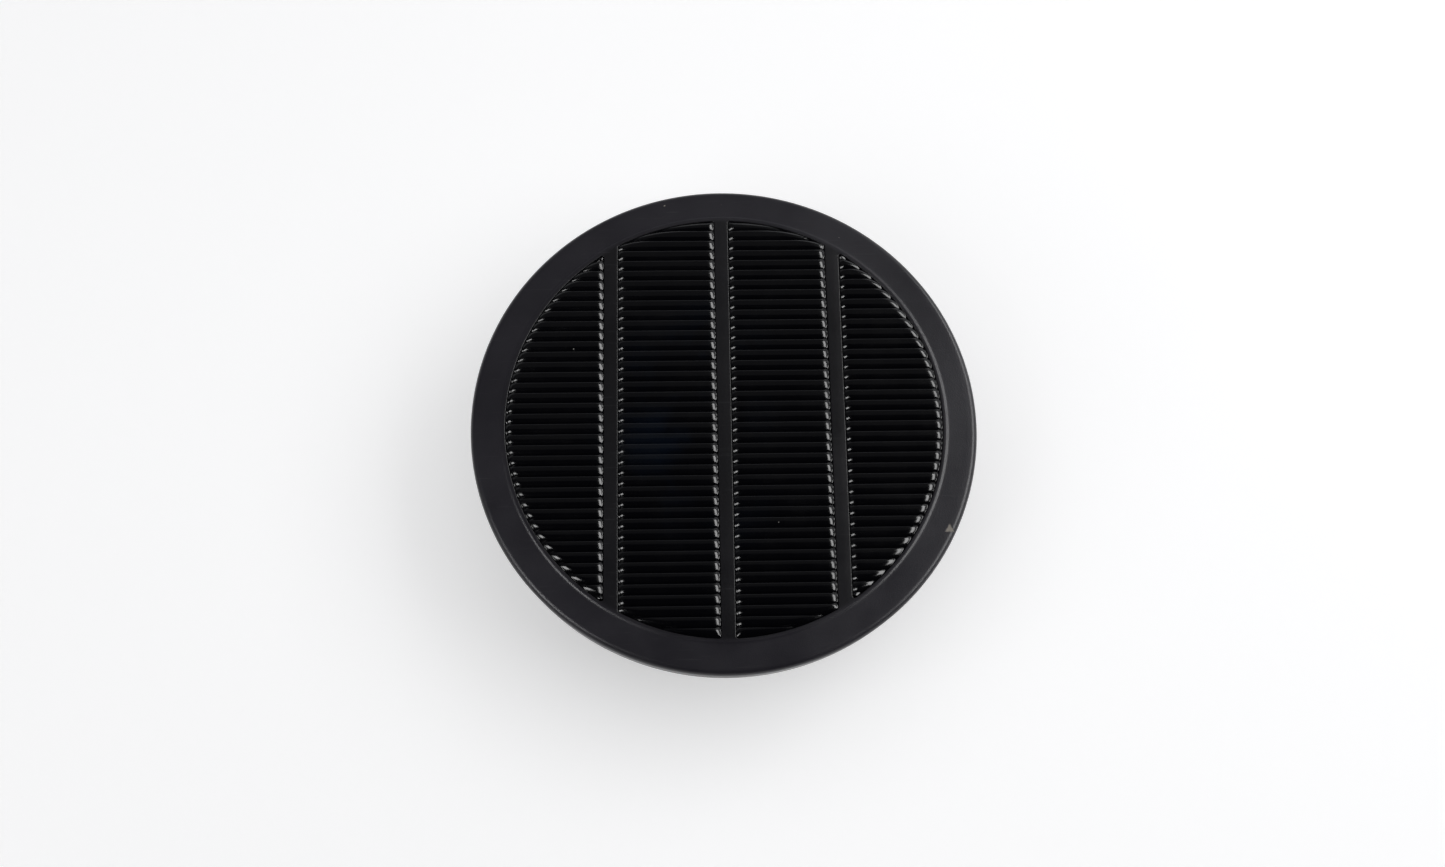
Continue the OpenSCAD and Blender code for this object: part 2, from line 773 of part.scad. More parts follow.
module bearing_tube() {
  color("#b5904a") difference() {
    union() {
      disc(tube_r, tube_low, ledge_top);
      disc(tube_flange_r, board_top, ledge_top);
    }
    disc(bearing_shoulder_r, tube_low - over, ledge_top + over);
    disc(bearing_r, tube_low - over, tube_low + bearing_low + bearing_h);
    disc(bearing_r, tube_low + bearing_high, ledge_top + over);
  }
}

module ball_bearings() {
  color("#c7c9cc") for (low = [tube_low + bearing_low, tube_low + bearing_high])
    tube(bearing_r - 0.02, shaft_r + shaft_fit, low, low + bearing_h);
}

module driver_board() {
  color("#1f5a38") difference() {
    tube(driver_r, tube_r + fit, board_top - driver_t, board_top);
    for (side = [-1, 1]) translate([lead_hole_x, side * lead_side, 0])
      disc(0.5, board_top - driver_t - over, board_top + over);
  }
}

module driver_parts() {
  chip_h = 1.2;
  color("#1a1a1a") {
    block([-18.5, -13.5], [-2.5, 2.5], [board_top, board_top + chip_h]);
    block([-4, 0], [13, 17.5], [board_top, board_top + chip_h]);
    block([3, 6], [-18.5, -14.5], [board_top, board_top + chip_h]);
    rotate([0, 0, 40]) block([17, 20], [-1.5, 1.5], [board_top - driver_t - 0.9, board_top - driver_t]);
  }
}

module stator_core() {
  shoe_half = 360 / tooth_count * 0.4;
  color("#7d8087") translate([0, 0, stator_z]) linear_extrude(stator_h) difference() {
    union() {
      circle(tube_r + 3);
      for (i = [0 : tooth_count - 1]) rotate([0, 0, i * 360 / tooth_count]) {
        translate([tube_r + 1, -tooth_w / 2]) square([stator_r - tube_r - 2, tooth_w]);
        intersection() {
          difference() {
            circle(stator_r);
            circle(stator_r - 1.6);
          }
          polygon([[0, 0], [2 * stator_r, -2 * stator_r * tan(shoe_half)],
            [2 * stator_r, 2 * stator_r * tan(shoe_half)]]);
        }
      }
    }
    circle(tube_r + fit);
  }
}

module stator_coils() {
  coil_w = 5.2;
  end_turn = 1.4;
  color("#a8592b") for (i = [0 : tooth_count - 1]) rotate([0, 0, i * 360 / tooth_count]) difference() {
    block([tube_r + 3.6, stator_r - 2], [-coil_w / 2, coil_w / 2],
      [stator_z - end_turn, stator_z + stator_h + end_turn]);
    block([tube_r, stator_r], [-tooth_w / 2 - fit, tooth_w / 2 + fit],
      [stator_z - fit, stator_z + stator_h + fit]);
  }
}

module motor_shaft() {
  low = hub_low + 0.1;
  color("#c7c9cc") difference() {
    disc(shaft_r, low, clip_z + clip_t + 1);
    tube(shaft_r + over, shaft_r - clip_groove, clip_z, clip_z + clip_t);
  }
}

module rotor_yoke() {
  color("#85888e") difference() {
    disc(yoke_r, yoke_floor, hub_top);
    disc(yoke_r - yoke_t, yoke_floor + yoke_t, hub_top + over);
    disc(shaft_r, yoke_floor - over, yoke_floor + yoke_t + over);
  }
}

module magnet_ring() {
  color("#3b3b40") tube(yoke_r - yoke_t, magnet_in_r, stator_z - 1, hub_top - 1);
}

// Plan of one blade between the hub and the tips
module blade_plan() {
  inner = hub_r - 1;
  outer = tip_r + 6;
  intersection() {
    polygon([
      [inner * cos(blade_root), -inner * sin(blade_root)],
      [outer * cos(blade_trail), outer * sin(blade_trail)],
      [outer * cos(blade_lead) * 1.02, outer * sin(blade_lead)],
      [inner * cos(blade_root), inner * sin(blade_root)]
    ]);
    circle(tip_r);
  }
}

module blade() {
  intersection() {
    translate([0, 0, hub_low]) linear_extrude(hub_h - 1) blade_plan();
    translate([0, 0, blade_mid_z]) rotate([blade_pitch, 0, 0]) translate([0, 0, -blade_camber_r])
      rotate([0, 90, 0]) difference() {
        cylinder(r = blade_camber_r, h = throat_r);
        translate([0, 0, -over]) cylinder(r = blade_camber_r - blade_t, h = throat_r + 2 * over);
      }
  }
}

module impeller() {
  color("#1f1f24") difference() {
    union() {
      disc(hub_r, hub_low, hub_top);
      for (i = [0 : blade_count - 1]) rotate([0, 0, i * 360 / blade_count]) blade();
    }
    disc(yoke_r, yoke_floor, hub_top + over);
    disc(shaft_r, hub_low - over, yoke_floor + over);
  }
}

module thrust_washer() {
  color("#e6e2d6") tube(washer_r, shaft_r, yoke_floor + yoke_t, tube_low + 0.1);
}

module shaft_clip() {
  color("#55585e") tube(washer_r, shaft_r - clip_groove, clip_z, clip_z + clip_t);
}

module finger_guard() {
  rings = floor((guard_band_r - guard_disc_r) / guard_pitch);
  slot = guard_pitch - guard_ring_w;
  color("#222228") translate([0, 0, guard_z]) linear_extrude(guard_t) {
    circle(guard_disc_r);
    for (i = [1 : rings]) difference() {
      circle(guard_disc_r + slot + (i - 1) * guard_pitch + guard_ring_w);
      circle(guard_disc_r + slot + (i - 1) * guard_pitch);
    }
    difference() {
      circle(throat_r - guard_fit);
      circle(guard_band_r);
      at_circle(4, guard_screw_pos, 45) circle(m25_shank_r + hole_gap);
    }
    for (i = [0 : spoke_count - 1]) rotate([0, 0, i * 360 / spoke_count])
      translate([guard_disc_r - over, -spoke_w / 2])
        square([guard_band_r - guard_disc_r + 2 * over, spoke_w]);
  }
}

module guard_screws() {
  color("#8d9096") at_circle(4, guard_screw_pos, 45)
    translate([0, 0, guard_z]) screw(m25_shank_r, m25_head_r, 1.6, guard_t + 3.4);
}

cap_cover();
panel_window();
window_seal();
cells_inner();
cells_outer();
cell_board();
bus_ribbons();
panel_junction();
cap_tray();
tray_screws();
threaded_inserts();
switch_body();
switch_terminals();
switch_rocker();
thermostat_cup();
thermostat_body();
thermostat_terminals();
lead_grommet();
panel_leads();
motor_leads();
post_spacers();
post_screws();
insect_screen();
fan_ring();
collar_screws();
base_flange();
flange_gasket();
motor_bracket();
bracket_screws();
bearing_tube();
ball_bearings();
driver_board();
driver_parts();
stator_core();
stator_coils();
motor_shaft();
rotor_yoke();
magnet_ring();
impeller();
thrust_washer();
shaft_clip();
finger_guard();
guard_screws();
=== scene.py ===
"""Looks of the round solar roof vent fan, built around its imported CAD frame.

Metres, +Z up, the roof face at z = 0. The switch faces -Y.
"""
import json
import math
from functools import partialmethod

import bmesh
import bpy
from mathutils import Matrix, Vector
from mathutils.geometry import delaunay_2d_cdt


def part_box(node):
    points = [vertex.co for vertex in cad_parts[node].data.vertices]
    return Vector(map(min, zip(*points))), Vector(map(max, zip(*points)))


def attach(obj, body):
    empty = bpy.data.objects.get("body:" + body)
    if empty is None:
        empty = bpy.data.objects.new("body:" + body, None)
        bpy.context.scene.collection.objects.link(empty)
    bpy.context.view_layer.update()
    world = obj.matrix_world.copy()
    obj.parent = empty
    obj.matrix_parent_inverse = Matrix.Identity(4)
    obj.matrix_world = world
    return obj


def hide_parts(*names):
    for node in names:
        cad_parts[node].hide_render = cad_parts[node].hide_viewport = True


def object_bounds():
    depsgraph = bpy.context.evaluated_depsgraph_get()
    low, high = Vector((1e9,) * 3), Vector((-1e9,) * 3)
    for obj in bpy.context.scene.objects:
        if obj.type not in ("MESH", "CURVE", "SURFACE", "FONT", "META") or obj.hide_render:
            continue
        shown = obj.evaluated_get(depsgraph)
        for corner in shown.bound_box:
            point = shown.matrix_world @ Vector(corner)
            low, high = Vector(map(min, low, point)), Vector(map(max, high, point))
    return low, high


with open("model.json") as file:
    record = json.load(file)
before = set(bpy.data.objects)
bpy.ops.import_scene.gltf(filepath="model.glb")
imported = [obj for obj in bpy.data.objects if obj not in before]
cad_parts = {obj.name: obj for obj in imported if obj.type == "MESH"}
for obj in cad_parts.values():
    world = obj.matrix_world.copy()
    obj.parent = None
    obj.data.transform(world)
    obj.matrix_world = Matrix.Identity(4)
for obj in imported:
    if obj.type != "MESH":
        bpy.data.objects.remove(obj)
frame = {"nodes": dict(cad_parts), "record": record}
cad_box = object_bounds()

# ---------------------------------------------------------------- sizes, in metres
MM = 0.001
SPIGOT_LOW = cad_box[0].z
CAP_LOW, CAP_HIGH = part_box("cap_cover")
CAP_R = 116 * MM
OUTER_R = min(-cad_box[0].x, -cad_box[0].y, cad_box[1].x, cad_box[1].y)
RIM_TOP = CAP_HIGH.z
SKIRT_LOW = CAP_LOW.z
RIM_W = 16 * MM
RIM_T = 3 * MM
EDGE_R = 3 * MM
EDGE_Z = RIM_TOP - 4 * MM
SKIRT_T = 2.5 * MM
WINDOW_R = CAP_R - RIM_W
WINDOW_LOW, WINDOW_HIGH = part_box("panel_window")
PLATE_R = WINDOW_HIGH.x
CREST_Z = WINDOW_HIGH.z
PLATE_TOP = WINDOW_LOW.z + 1.8 * MM
BAR_W = 6.4 * MM
COLUMN_PITCH = 52 * MM
WINDOW_GAP = 0.3 * MM
RIB_PITCH = 5 * MM
RIB_DEPTH = 0.9 * MM
BARS = (-COLUMN_PITCH, 0, COLUMN_PITCH)
BOSS_COUNT = 8
BOSS_POS = WINDOW_R + 8 * MM
SHOULDER_R = WINDOW_R + 1.2 * MM
CHIP_X = 100.8 * MM
CHIP_Y = -50.9 * MM
WELD = 0.001 * MM
MOULD_ANGLE = 35
BEVEL_STEPS = 3

NODE_BODY = {
    node: body
    for body, nodes in frame["record"]["behaviour"]["bodies"].items()
    for node in nodes
}


# ---------------------------------------------------------------- node tree helpers
class Field:
    """A number on its way through a node tree; arithmetic on it adds Math nodes."""

    def __init__(self, tree, socket):
        self.tree = tree
        self.socket = socket

    def math(self, operation, *others):
        node = self.tree.nodes.new("ShaderNodeMath")
        node.operation = operation
        for slot, value in zip(node.inputs, (self, *others)):
            feed(self.tree, value, slot)
        return Field(self.tree, node.outputs[0])

    __add__ = partialmethod(math, "ADD")
    __sub__ = partialmethod(math, "SUBTRACT")
    __mul__ = partialmethod(math, "MULTIPLY")
    __truediv__ = partialmethod(math, "DIVIDE")
    __neg__ = partialmethod(math, "MULTIPLY", -1.0)
    root = partialmethod(math, "SQRT")
    least = partialmethod(math, "MINIMUM")
    most = partialmethod(math, "MAXIMUM")
    below = partialmethod(math, "LESS_THAN")
    part = partialmethod(math, "FRACT")
    size = partialmethod(math, "ABSOLUTE")
    cosine = partialmethod(math, "COSINE")
    sine = partialmethod(math, "SINE")

    def within(self, low, high):
        return self.most(low).least(high)


def feed(tree, value, slot):
    """Puts a field, a node's first output, a socket or a plain value into an input."""
    if isinstance(value, Field):
        tree.links.new(value.socket, slot)
    elif isinstance(value, bpy.types.Node):
        tree.links.new(value.outputs[0], slot)
    elif isinstance(value, bpy.types.NodeSocket):
        tree.links.new(value, slot)
    else:
        slot.default_value = value


def add(tree, kind, inputs=None, **settings):
    """Adds a node, sets its properties and fills its inputs by name or number."""
    node = tree.nodes.new(kind)
    for name, value in settings.items():
        setattr(node, name, value)
    for name, value in (inputs or {}).items():
        feed(tree, value, node.inputs[name])
    return node


def step_up(value, low, high):
    """0 below low, 1 above high, and smooth between them."""
    node = add(value.tree, "ShaderNodeMapRange", {0: value, 1: low, 2: high},
               interpolation_type="SMOOTHSTEP")
    return Field(value.tree, node.outputs[0])


def split_xyz(tree, vector):
    node = add(tree, "ShaderNodeSeparateXYZ", {0: vector})
    return [Field(tree, socket) for socket in node.outputs]


def join_xyz(tree, x, y, z):
    return add(tree, "ShaderNodeCombineXYZ", {0: x, 1: y, 2: z}).outputs[0]


SOCKET_KINDS = {float: "NodeSocketFloat", int: "NodeSocketInt", tuple: "NodeSocketVector"}


def new_tree(name, kind, inputs, outputs, output_kind):
    """An empty node tree with its sockets; returns the tree, its inputs by name and its end."""
    tree = bpy.data.node_groups.new(name, kind)
    for label, value in inputs.items():
        socket_kind = SOCKET_KINDS[type(value)]
        tree.interface.new_socket(label, in_out="INPUT", socket_type=socket_kind).default_value = value
    for label in outputs:
        tree.interface.new_socket(label, in_out="OUTPUT", socket_type=output_kind)
    start = tree.nodes.new("NodeGroupInput")
    end = tree.nodes.new("NodeGroupOutput")
    return tree, {s.name: Field(tree, s) for s in start.outputs if s.name}, end


# ---------------------------------------------------------------- shared surface effects
def effect_group(name, inputs, outputs):
    """An empty shader group that puts out values only."""
    return new_tree(name, "ShaderNodeTree", inputs, outputs, "NodeSocketFloat")


def object_place(tree):
    return add(tree, "ShaderNodeTexCoord").outputs["Object"]


def cells(tree, place, scale):
    return add(tree, "ShaderNodeTexVoronoi", {"Vector": place, "Scale": scale})


def noise(tree, place, scale, detail=2.0, roughness=0.5):
    node = add(tree, "ShaderNodeTexNoise", {"Vector": place, "Scale": scale, "Detail": detail,
                                            "Roughness": roughness})
    return Field(tree, node.outputs["Fac"])


def moulded_grain_group():
    """Spark-eroded tool grain and the slow change of tone of a moulded surface."""
    tree, given, end = effect_group(
        "Moulded Grain",
        {"Grains per Metre": 2600.0, "Flow per Metre": 22.0},
        ["Height", "Tone"],
    )
    place = object_place(tree)
    pits = cells(tree, place, given["Grains per Metre"])
    fine = noise(tree, place, given["Grains per Metre"] * 0.6, 3.0, 0.6)
    height = Field(tree, pits.outputs["Distance"]) * 0.6 + fine * 0.7
    feed(tree, height, end.inputs["Height"])
    feed(tree, step_up(noise(tree, place, given["Flow per Metre"], 4.0, 0.6), 0.3, 0.7), end.inputs["Tone"])
    return tree


def handling_group():
    """Soft smears from handling and a few hairline scratches."""
    tree, given, end = effect_group("Handling Marks", {"Smears per Metre": 30.0}, ["Smear", "Scratch"])
    place = object_place(tree)
    smear = noise(tree, place, given["Smears per Metre"], 5.0, 0.65)
    feed(tree, step_up(smear, 0.42, 0.7), end.inputs["Smear"])
    turned = add(tree, "ShaderNodeMapping",
                 {"Vector": place, "Rotation": (0.0, 0.0, 0.7), "Scale": (1.0, 40.0, 1.0)})
    lines = noise(tree, turned, given["Smears per Metre"] * 2.0, 2.0, 0.5)
    feed(tree, step_up(lines, 0.68, 0.72), end.inputs["Scratch"])
    return tree


def dust_group():
    """Sparse pale specks of dust, where the surface faces up."""
    tree, given, end = effect_group("Dust Specks", {"Specks per Metre": 150.0, "Share": 0.12}, ["Speck"])
    place = object_place(tree)
    spots = cells(tree, place, given["Specks per Metre"])
    chosen = split_xyz(tree, spots.outputs["Color"])
    few = chosen[0].below(given["Share"])
    ragged = noise(tree, place, given["Specks per Metre"] * 12.0, 2.0, 0.5)
    spot = (Field(tree, spots.outputs["Distance"]) + ragged * 0.06).below(chosen[1] * 0.05 + 0.05)
    up = split_xyz(tree, add(tree, "ShaderNodeNewGeometry").outputs["Normal"])[2]
    feed(tree, few * spot * step_up(up, 0.6, 0.9), end.inputs["Speck"])
    return tree


def lined_group():
    """Fine parallel tool marks; the direction with the high scale is the one across them."""
    start_lines = (60.0, 60.0, 6000.0)
    tree, given, end = effect_group("Tool Lines", {"Lines per Metre": start_lines}, ["Height", "Tone"])
    place = object_place(tree)
    spread = add(tree, "ShaderNodeVectorMath", {0: place, 1: given["Lines per Metre"]}, operation="MULTIPLY")
    lines = noise(tree, spread, 1.0, 3.0, 0.6)
    feed(tree, lines, end.inputs["Height"])
    feed(tree, step_up(noise(tree, place, 120.0, 4.0, 0.6), 0.25, 0.75), end.inputs["Tone"])
    return tree


GRAIN = moulded_grain_group()
HANDLING = handling_group()
DUST = dust_group()
LINES = lined_group()


# ---------------------------------------------------------------- materials
class Finish:
    """A material being built: its tree, its Principled shader and the usual last steps."""

    def __init__(self, name, roughness=0.5, metallic=0.0):
        self.material = bpy.data.materials.new(name)
        self.material.use_nodes = True
        self.tree = self.material.node_tree
        self.shader = self.tree.nodes["Principled BSDF"]
        self.shader.inputs["Roughness"].default_value = roughness
        self.shader.inputs["Metallic"].default_value = metallic

    def effect(self, group, **values):
        node = add(self.tree, "ShaderNodeGroup", node_tree=group)
        for name, value in values.items():
            feed(self.tree, value, node.inputs[name.replace("_", " ")])
        return {s.name: Field(self.tree, s) for s in node.outputs}

    def place(self):
        return object_place(self.tree)

    def xyz(self):
        return split_xyz(self.tree, self.place())

    def noise(self, scale, detail, roughness):
        return noise(self.tree, self.place(), scale, detail, roughness)

    def cells(self, scale):
        return cells(self.tree, self.place(), scale)

    def mix(self, share, first, second):
        """Colour between two colours or colour sockets."""
        sides = {"Factor": share, "A": rgba(first), "B": rgba(second)}
        return add(self.tree, "ShaderNodeMix", sides, data_type="RGBA").outputs["Result"]

    def colour(self, value):
        feed(self.tree, rgba(value), self.shader.inputs["Base Color"])

    def rough(self, value):
        feed(self.tree, value, self.shader.inputs["Roughness"])

    def metal(self, value):
        feed(self.tree, value, self.shader.inputs["Metallic"])

    def bump(self, height, depth):
        node = add(self.tree, "ShaderNodeBump", {"Strength": 1.0, "Distance": depth, "Height": height})
        feed(self.tree, node, self.shader.inputs["Normal"])

    def set(self, **values):
        for name, value in values.items():
            self.shader.inputs[name.replace("_", " ")].default_value = value


def rgba(value):
    return (*value, 1.0) if isinstance(value, tuple) and len(value) == 3 else value


def moulded(name, tone, roughness, grain=2600.0, depth=0.06 * MM, lighter=1.5, dust=0.0):
    """Moulded plastic: grain, slow change of tone, smears in the gloss and a little dust."""
    finish = Finish(name, roughness)
    grains = finish.effect(GRAIN, Grains_per_Metre=grain)
    marks = finish.effect(HANDLING)
    light = tuple(channel * lighter for channel in tone)
    base = finish.mix(grains["Tone"] * 0.8 + marks["Scratch"] * 0.2, tone, light)
    if dust:
        specks = finish.effect(DUST, Share=dust)
        base = finish.mix(specks["Speck"] * 0.8, base, (0.36, 0.34, 0.31))
    finish.colour(base)
    finish.rough(grains["Tone"] * 0.05 - marks["Smear"] * 0.08 + roughness)
    finish.bump(grains["Height"], depth)
    return finish


def cap_plastic():
    """Satin black of the cap moulding, with a chip that bares the pale core of the rim."""
    finish = Finish("satin_black_cap", 0.42)
    grains = finish.effect(GRAIN, Grains_per_Metre=2200.0, Flow_per_Metre=16.0)
    marks = finish.effect(HANDLING, Smears_per_Metre=24.0)
    specks = finish.effect(DUST, Specks_per_Metre=110.0, Share=0.16)
    x, y, _ = finish.xyz()
    ragged = finish.noise(900.0, 2.0, 0.5) * (0.9 * MM)
    across = x - CHIP_X + ragged
    along = y - CHIP_Y + ragged
    chip = step_up(
        (across.size() * 0.9 + along * 0.55).most(-along).most(across.size() * 0.4) * -1.0,
        -1.5 * MM, -1.0 * MM,
    )
    rim = step_up((x * x + y * y).root(), WINDOW_R - 1 * MM, WINDOW_R + 2 * MM)
    # Painted shade: the bars are the same plastic as the rim but get a darker colour, which stands in for
    # the lower light on them.
    bars = finish.mix(grains["Tone"], (0.0040, 0.0038, 0.0050), (0.0062, 0.0059, 0.0076))
    outer = finish.mix(grains["Tone"], (0.0120, 0.0112, 0.0150), (0.0165, 0.0155, 0.0202))
    base = finish.mix(rim, bars, outer)
    base = finish.mix(marks["Scratch"] * 0.25, base, (0.05, 0.05, 0.055))
    base = finish.mix(specks["Speck"] * 0.85, base, (0.42, 0.39, 0.34))
    base = finish.mix(chip, base, (0.20, 0.18, 0.155))
    finish.colour(base)
    finish.rough(grains["Tone"] * 0.06 - marks["Smear"] * 0.07 + chip * 0.3 + 0.34)
    finish.bump(grains["Height"] * 0.5 - chip * 3.0, 0.09 * MM)
    finish.set(Specular_IOR_Level=0.4)
    return finish


def window_plastic():
    """Gloss black ribs over dark cells, with a faint blue of the cells in the middle columns."""
    finish = Finish("gloss_black_window", 0.06)
    marks = finish.effect(HANDLING, Smears_per_Metre=45.0)
    specks = finish.effect(DUST, Specks_per_Metre=130.0, Share=0.05)
    x, y, _ = finish.xyz()
    reach = (x * x + y * y).root()
    patch = finish.noise(26.0, 3.0, 0.6)
    middle = step_up(reach, 70 * MM, 25 * MM) * step_up(x, 30 * MM, -10 * MM)
    blue = step_up(patch, 0.42, 0.66) * middle
    ripple = finish.noise(55.0, 2.0, 0.5)
    base = finish.mix(blue, (0.0006, 0.0006, 0.0013), (0.0013, 0.0030, 0.0070))
    base = finish.mix(marks["Smear"] * 0.2, base, (0.0014, 0.0014, 0.0018))
    base = finish.mix(specks["Speck"] * 0.7, base, (0.3, 0.29, 0.27))
    finish.colour(base)
    finish.rough(marks["Smear"] * 0.06 + marks["Scratch"] * 0.08 + specks["Speck"] * 0.4 + 0.17)
    finish.bump(ripple, 0.12 * MM)
    return finish


def seal_rubber():
    finish = Finish("seal_rubber", 0.7)
    grains = finish.effect(GRAIN, Grains_per_Metre=3800.0, Flow_per_Metre=60.0)
    finish.colour(finish.mix(grains["Tone"], (0.008, 0.008, 0.008), (0.018, 0.018, 0.018)))
    finish.rough(grains["Tone"] * 0.15 + 0.62)
    finish.bump(grains["Height"], 0.05 * MM)
    return finish


def foam_rubber():
    """Closed-cell foam of the roof gasket: open pores on the cut faces."""
    finish = Finish("gasket_foam", 0.85)
    pores = finish.cells(1500.0)
    # Painted shade: the colour darkens into each pore, as shade in the hollow.
    hollow = step_up(Field(finish.tree, pores.outputs["Distance"]), 0.15, 0.5)
    tone = finish.noise(90.0, 3.0, 0.5)
    finish.colour(finish.mix(hollow * 0.7 + tone * 0.3, (0.006, 0.006, 0.006), (0.024, 0.024, 0.025)))
    finish.rough(hollow * 0.1 + 0.8)
    finish.bump(hollow, 0.25 * MM)
    return finish


def solar_cell():
    """Blue-black silicon with silver fingers across it and two busbars along it."""
    finish = Finish("solar_cell", 0.22)
    x, y, _ = finish.xyz()
    crystals = finish.cells(160.0)
    shade = split_xyz(finish.tree, crystals.outputs["Color"])[0]
    fingers = ((y / (1.8 * MM)).part() - 0.5).size().below(0.045)
    rails = ((x / (13 * MM) + 0.5).part() - 0.5).size().below(0.05)
    silver = fingers.most(rails)
    silicon = finish.mix(shade, (0.004, 0.008, 0.028), (0.008, 0.016, 0.055))
    finish.colour(finish.mix(silver, silicon, (0.5, 0.51, 0.53)))
    finish.rough(silver * 0.25 + shade * 0.08 + 0.18)
    finish.bump(silver, 0.03 * MM)
    finish.metal(silver * 0.9)
    return finish


def circuit_board(name, mask, copper_side):
    """Glass-fibre board under solder mask, with tracks showing through and tinned pads."""
    finish = Finish(name, 0.32)
    place = finish.place()
    tracks = add(finish.tree, "ShaderNodeTexBrick",
                 {"Vector": place, "Scale": 260.0, "Mortar Size": 0.06, "Brick Width": 1.3,
                  "Row Height": 0.42, "Color1": (0, 0, 0, 1), "Color2": (0, 0, 0, 1),
                  "Mortar": (1, 1, 1, 1)})
    track = split_xyz(finish.tree, tracks.outputs["Color"])[0]
    weave = noise(finish.tree, place, 1400.0, 2.0, 0.5)
    pads = cells(finish.tree, place, 210.0)
    pad = Field(finish.tree, pads.outputs["Distance"]).below(0.16) * copper_side
    light = tuple(channel * 1.9 for channel in mask)
    base = finish.mix(track * 0.7 + weave * 0.3, mask, light)
    finish.colour(finish.mix(pad, base, (0.62, 0.62, 0.6)))
    finish.metal(pad * 0.9)
    finish.rough(weave * 0.1 + pad * 0.05 + 0.25)
    finish.bump(track * 0.6 + weave * 0.3 + pad * 0.8, 0.04 * MM)
    return finish


def lined_metal(name, tone, roughness, lines=(60.0, 60.0, 6000.0), depth=0.012 * MM, stain=0.7):
    """Metal with fine tool marks and a slow change of brightness."""
    finish = Finish(name, roughness, 1.0)
    marks = finish.effect(LINES, Lines_per_Metre=lines)
    smears = finish.effect(HANDLING, Smears_per_Metre=90.0)
    dull = tuple(channel * stain for channel in tone)
    finish.colour(finish.mix(marks["Tone"] * 0.7 + marks["Height"] * 0.3, dull, tone))
    finish.rough(marks["Height"] * 0.18 + smears["Smear"] * 0.12 + roughness - 0.08)
    finish.bump(marks["Height"], depth)
    return finish


def zinc_steel():
    """Zinc plate: bright, faintly blue and yellow in places, with a mottled gloss."""
    finish = Finish("zinc_plated_steel", 0.3, 1.0)
    patch = finish.noise(420.0, 4.0, 0.6)
    fine = finish.noise(3200.0, 2.0, 0.5)
    base = finish.mix(step_up(patch, 0.35, 0.65), (0.5, 0.51, 0.55), (0.6, 0.585, 0.53))
    finish.colour(finish.mix(step_up(fine, 0.5, 0.8), base, (0.34, 0.34, 0.36)))
    finish.rough(patch * 0.25 + fine * 0.1 + 0.14)
    finish.bump(fine, 0.02 * MM)
    return finish


def galvanised_steel():
    """Hot-dip zinc: spangles that each throw back the light a little differently."""
    finish = Finish("galvanised_bracket_steel", 0.38, 1.0)
    crystals = finish.cells(190.0)
    shade = split_xyz(finish.tree, crystals.outputs["Color"])
    fine = finish.noise(1800.0, 3.0, 0.6)
    base = finish.mix(shade[0], (0.36, 0.375, 0.39), (0.56, 0.575, 0.59))
    finish.colour(finish.mix(step_up(fine, 0.62, 0.75) * 0.5, base, (0.25, 0.25, 0.25)))
    finish.rough(shade[1] * 0.22 + fine * 0.08 + 0.26)
    finish.bump(shade[2] * 0.5 + fine * 0.5, 0.05 * MM)
    return finish


def coated_screen():
    """Dark powder coat on the insect screen, with an orange-peel skin."""
    finish = Finish("coated_screen", 0.5)
    peel = finish.noise(1500.0, 2.0, 0.5)
    tone = finish.noise(130.0, 4.0, 0.6)
    finish.colour(finish.mix(tone, (0.017, 0.0175, 0.018), (0.036, 0.036, 0.038)))
    finish.rough(peel * 0.2 + 0.38)
    finish.bump(peel, 0.08 * MM)
    finish.set(Coat_Weight=0.25, Coat_Roughness=0.3)
    return finish


def lead_insulation(name, tone):
    """Silicone insulation: matte, with chalky handling marks."""
    finish = Finish(name, 0.5)
    chalk = finish.noise(500.0, 4.0, 0.6)
    light = tuple(min(1.0, channel * 1.5 + 0.01) for channel in tone)
    finish.colour(finish.mix(step_up(chalk, 0.4, 0.75), tone, light))
    finish.rough(chalk * 0.25 + 0.38)
    finish.bump(chalk, 0.03 * MM)
    return finish


def phenolic():
    finish = Finish("phenolic_brown", 0.35)
    flow = finish.noise(300.0, 5.0, 0.7)
    specks = finish.noise(2600.0, 2.0, 0.5)
    base = finish.mix(flow, (0.035, 0.018, 0.011), (0.075, 0.042, 0.024))
    finish.colour(finish.mix(step_up(specks, 0.6, 0.75) * 0.5, base, (0.12, 0.08, 0.05)))
    finish.rough(flow * 0.2 + 0.26)
    finish.bump(specks, 0.03 * MM)
    return finish


def copper_windings():
    """Enamelled wire laid turn by turn, amber where the enamel is thick."""
    finish = Finish("enamelled_copper", 0.28, 1.0)
    x, y, _ = finish.xyz()
    radius = (x * x + y * y).root()
    turns = ((radius / (0.45 * MM)).part() - 0.5).size()
    amber = finish.noise(700.0, 3.0, 0.5)
    # Painted shade: the copper colour darkens in the grooves between turns.
    base = finish.mix(turns * 1.6, (0.55, 0.2, 0.075), (0.2, 0.055, 0.02))
    finish.colour(finish.mix(step_up(amber, 0.5, 0.7) * 0.5, base, (0.45, 0.13, 0.05)))
    finish.rough(turns * 0.3 + 0.2)
    finish.bump(turns * -1.0, 0.18 * MM)
    return finish


def ferrite():
    finish = Finish("bonded_ferrite", 0.55, 0.3)
    grain = finish.noise(3000.0, 4.0, 0.7)
    tone = finish.noise(240.0, 3.0, 0.6)
    finish.colour(finish.mix(tone, (0.032, 0.031, 0.034), (0.07, 0.068, 0.072)))
    finish.rough(grain * 0.3 + 0.42)
    finish.bump(grain, 0.05 * MM)
    return finish


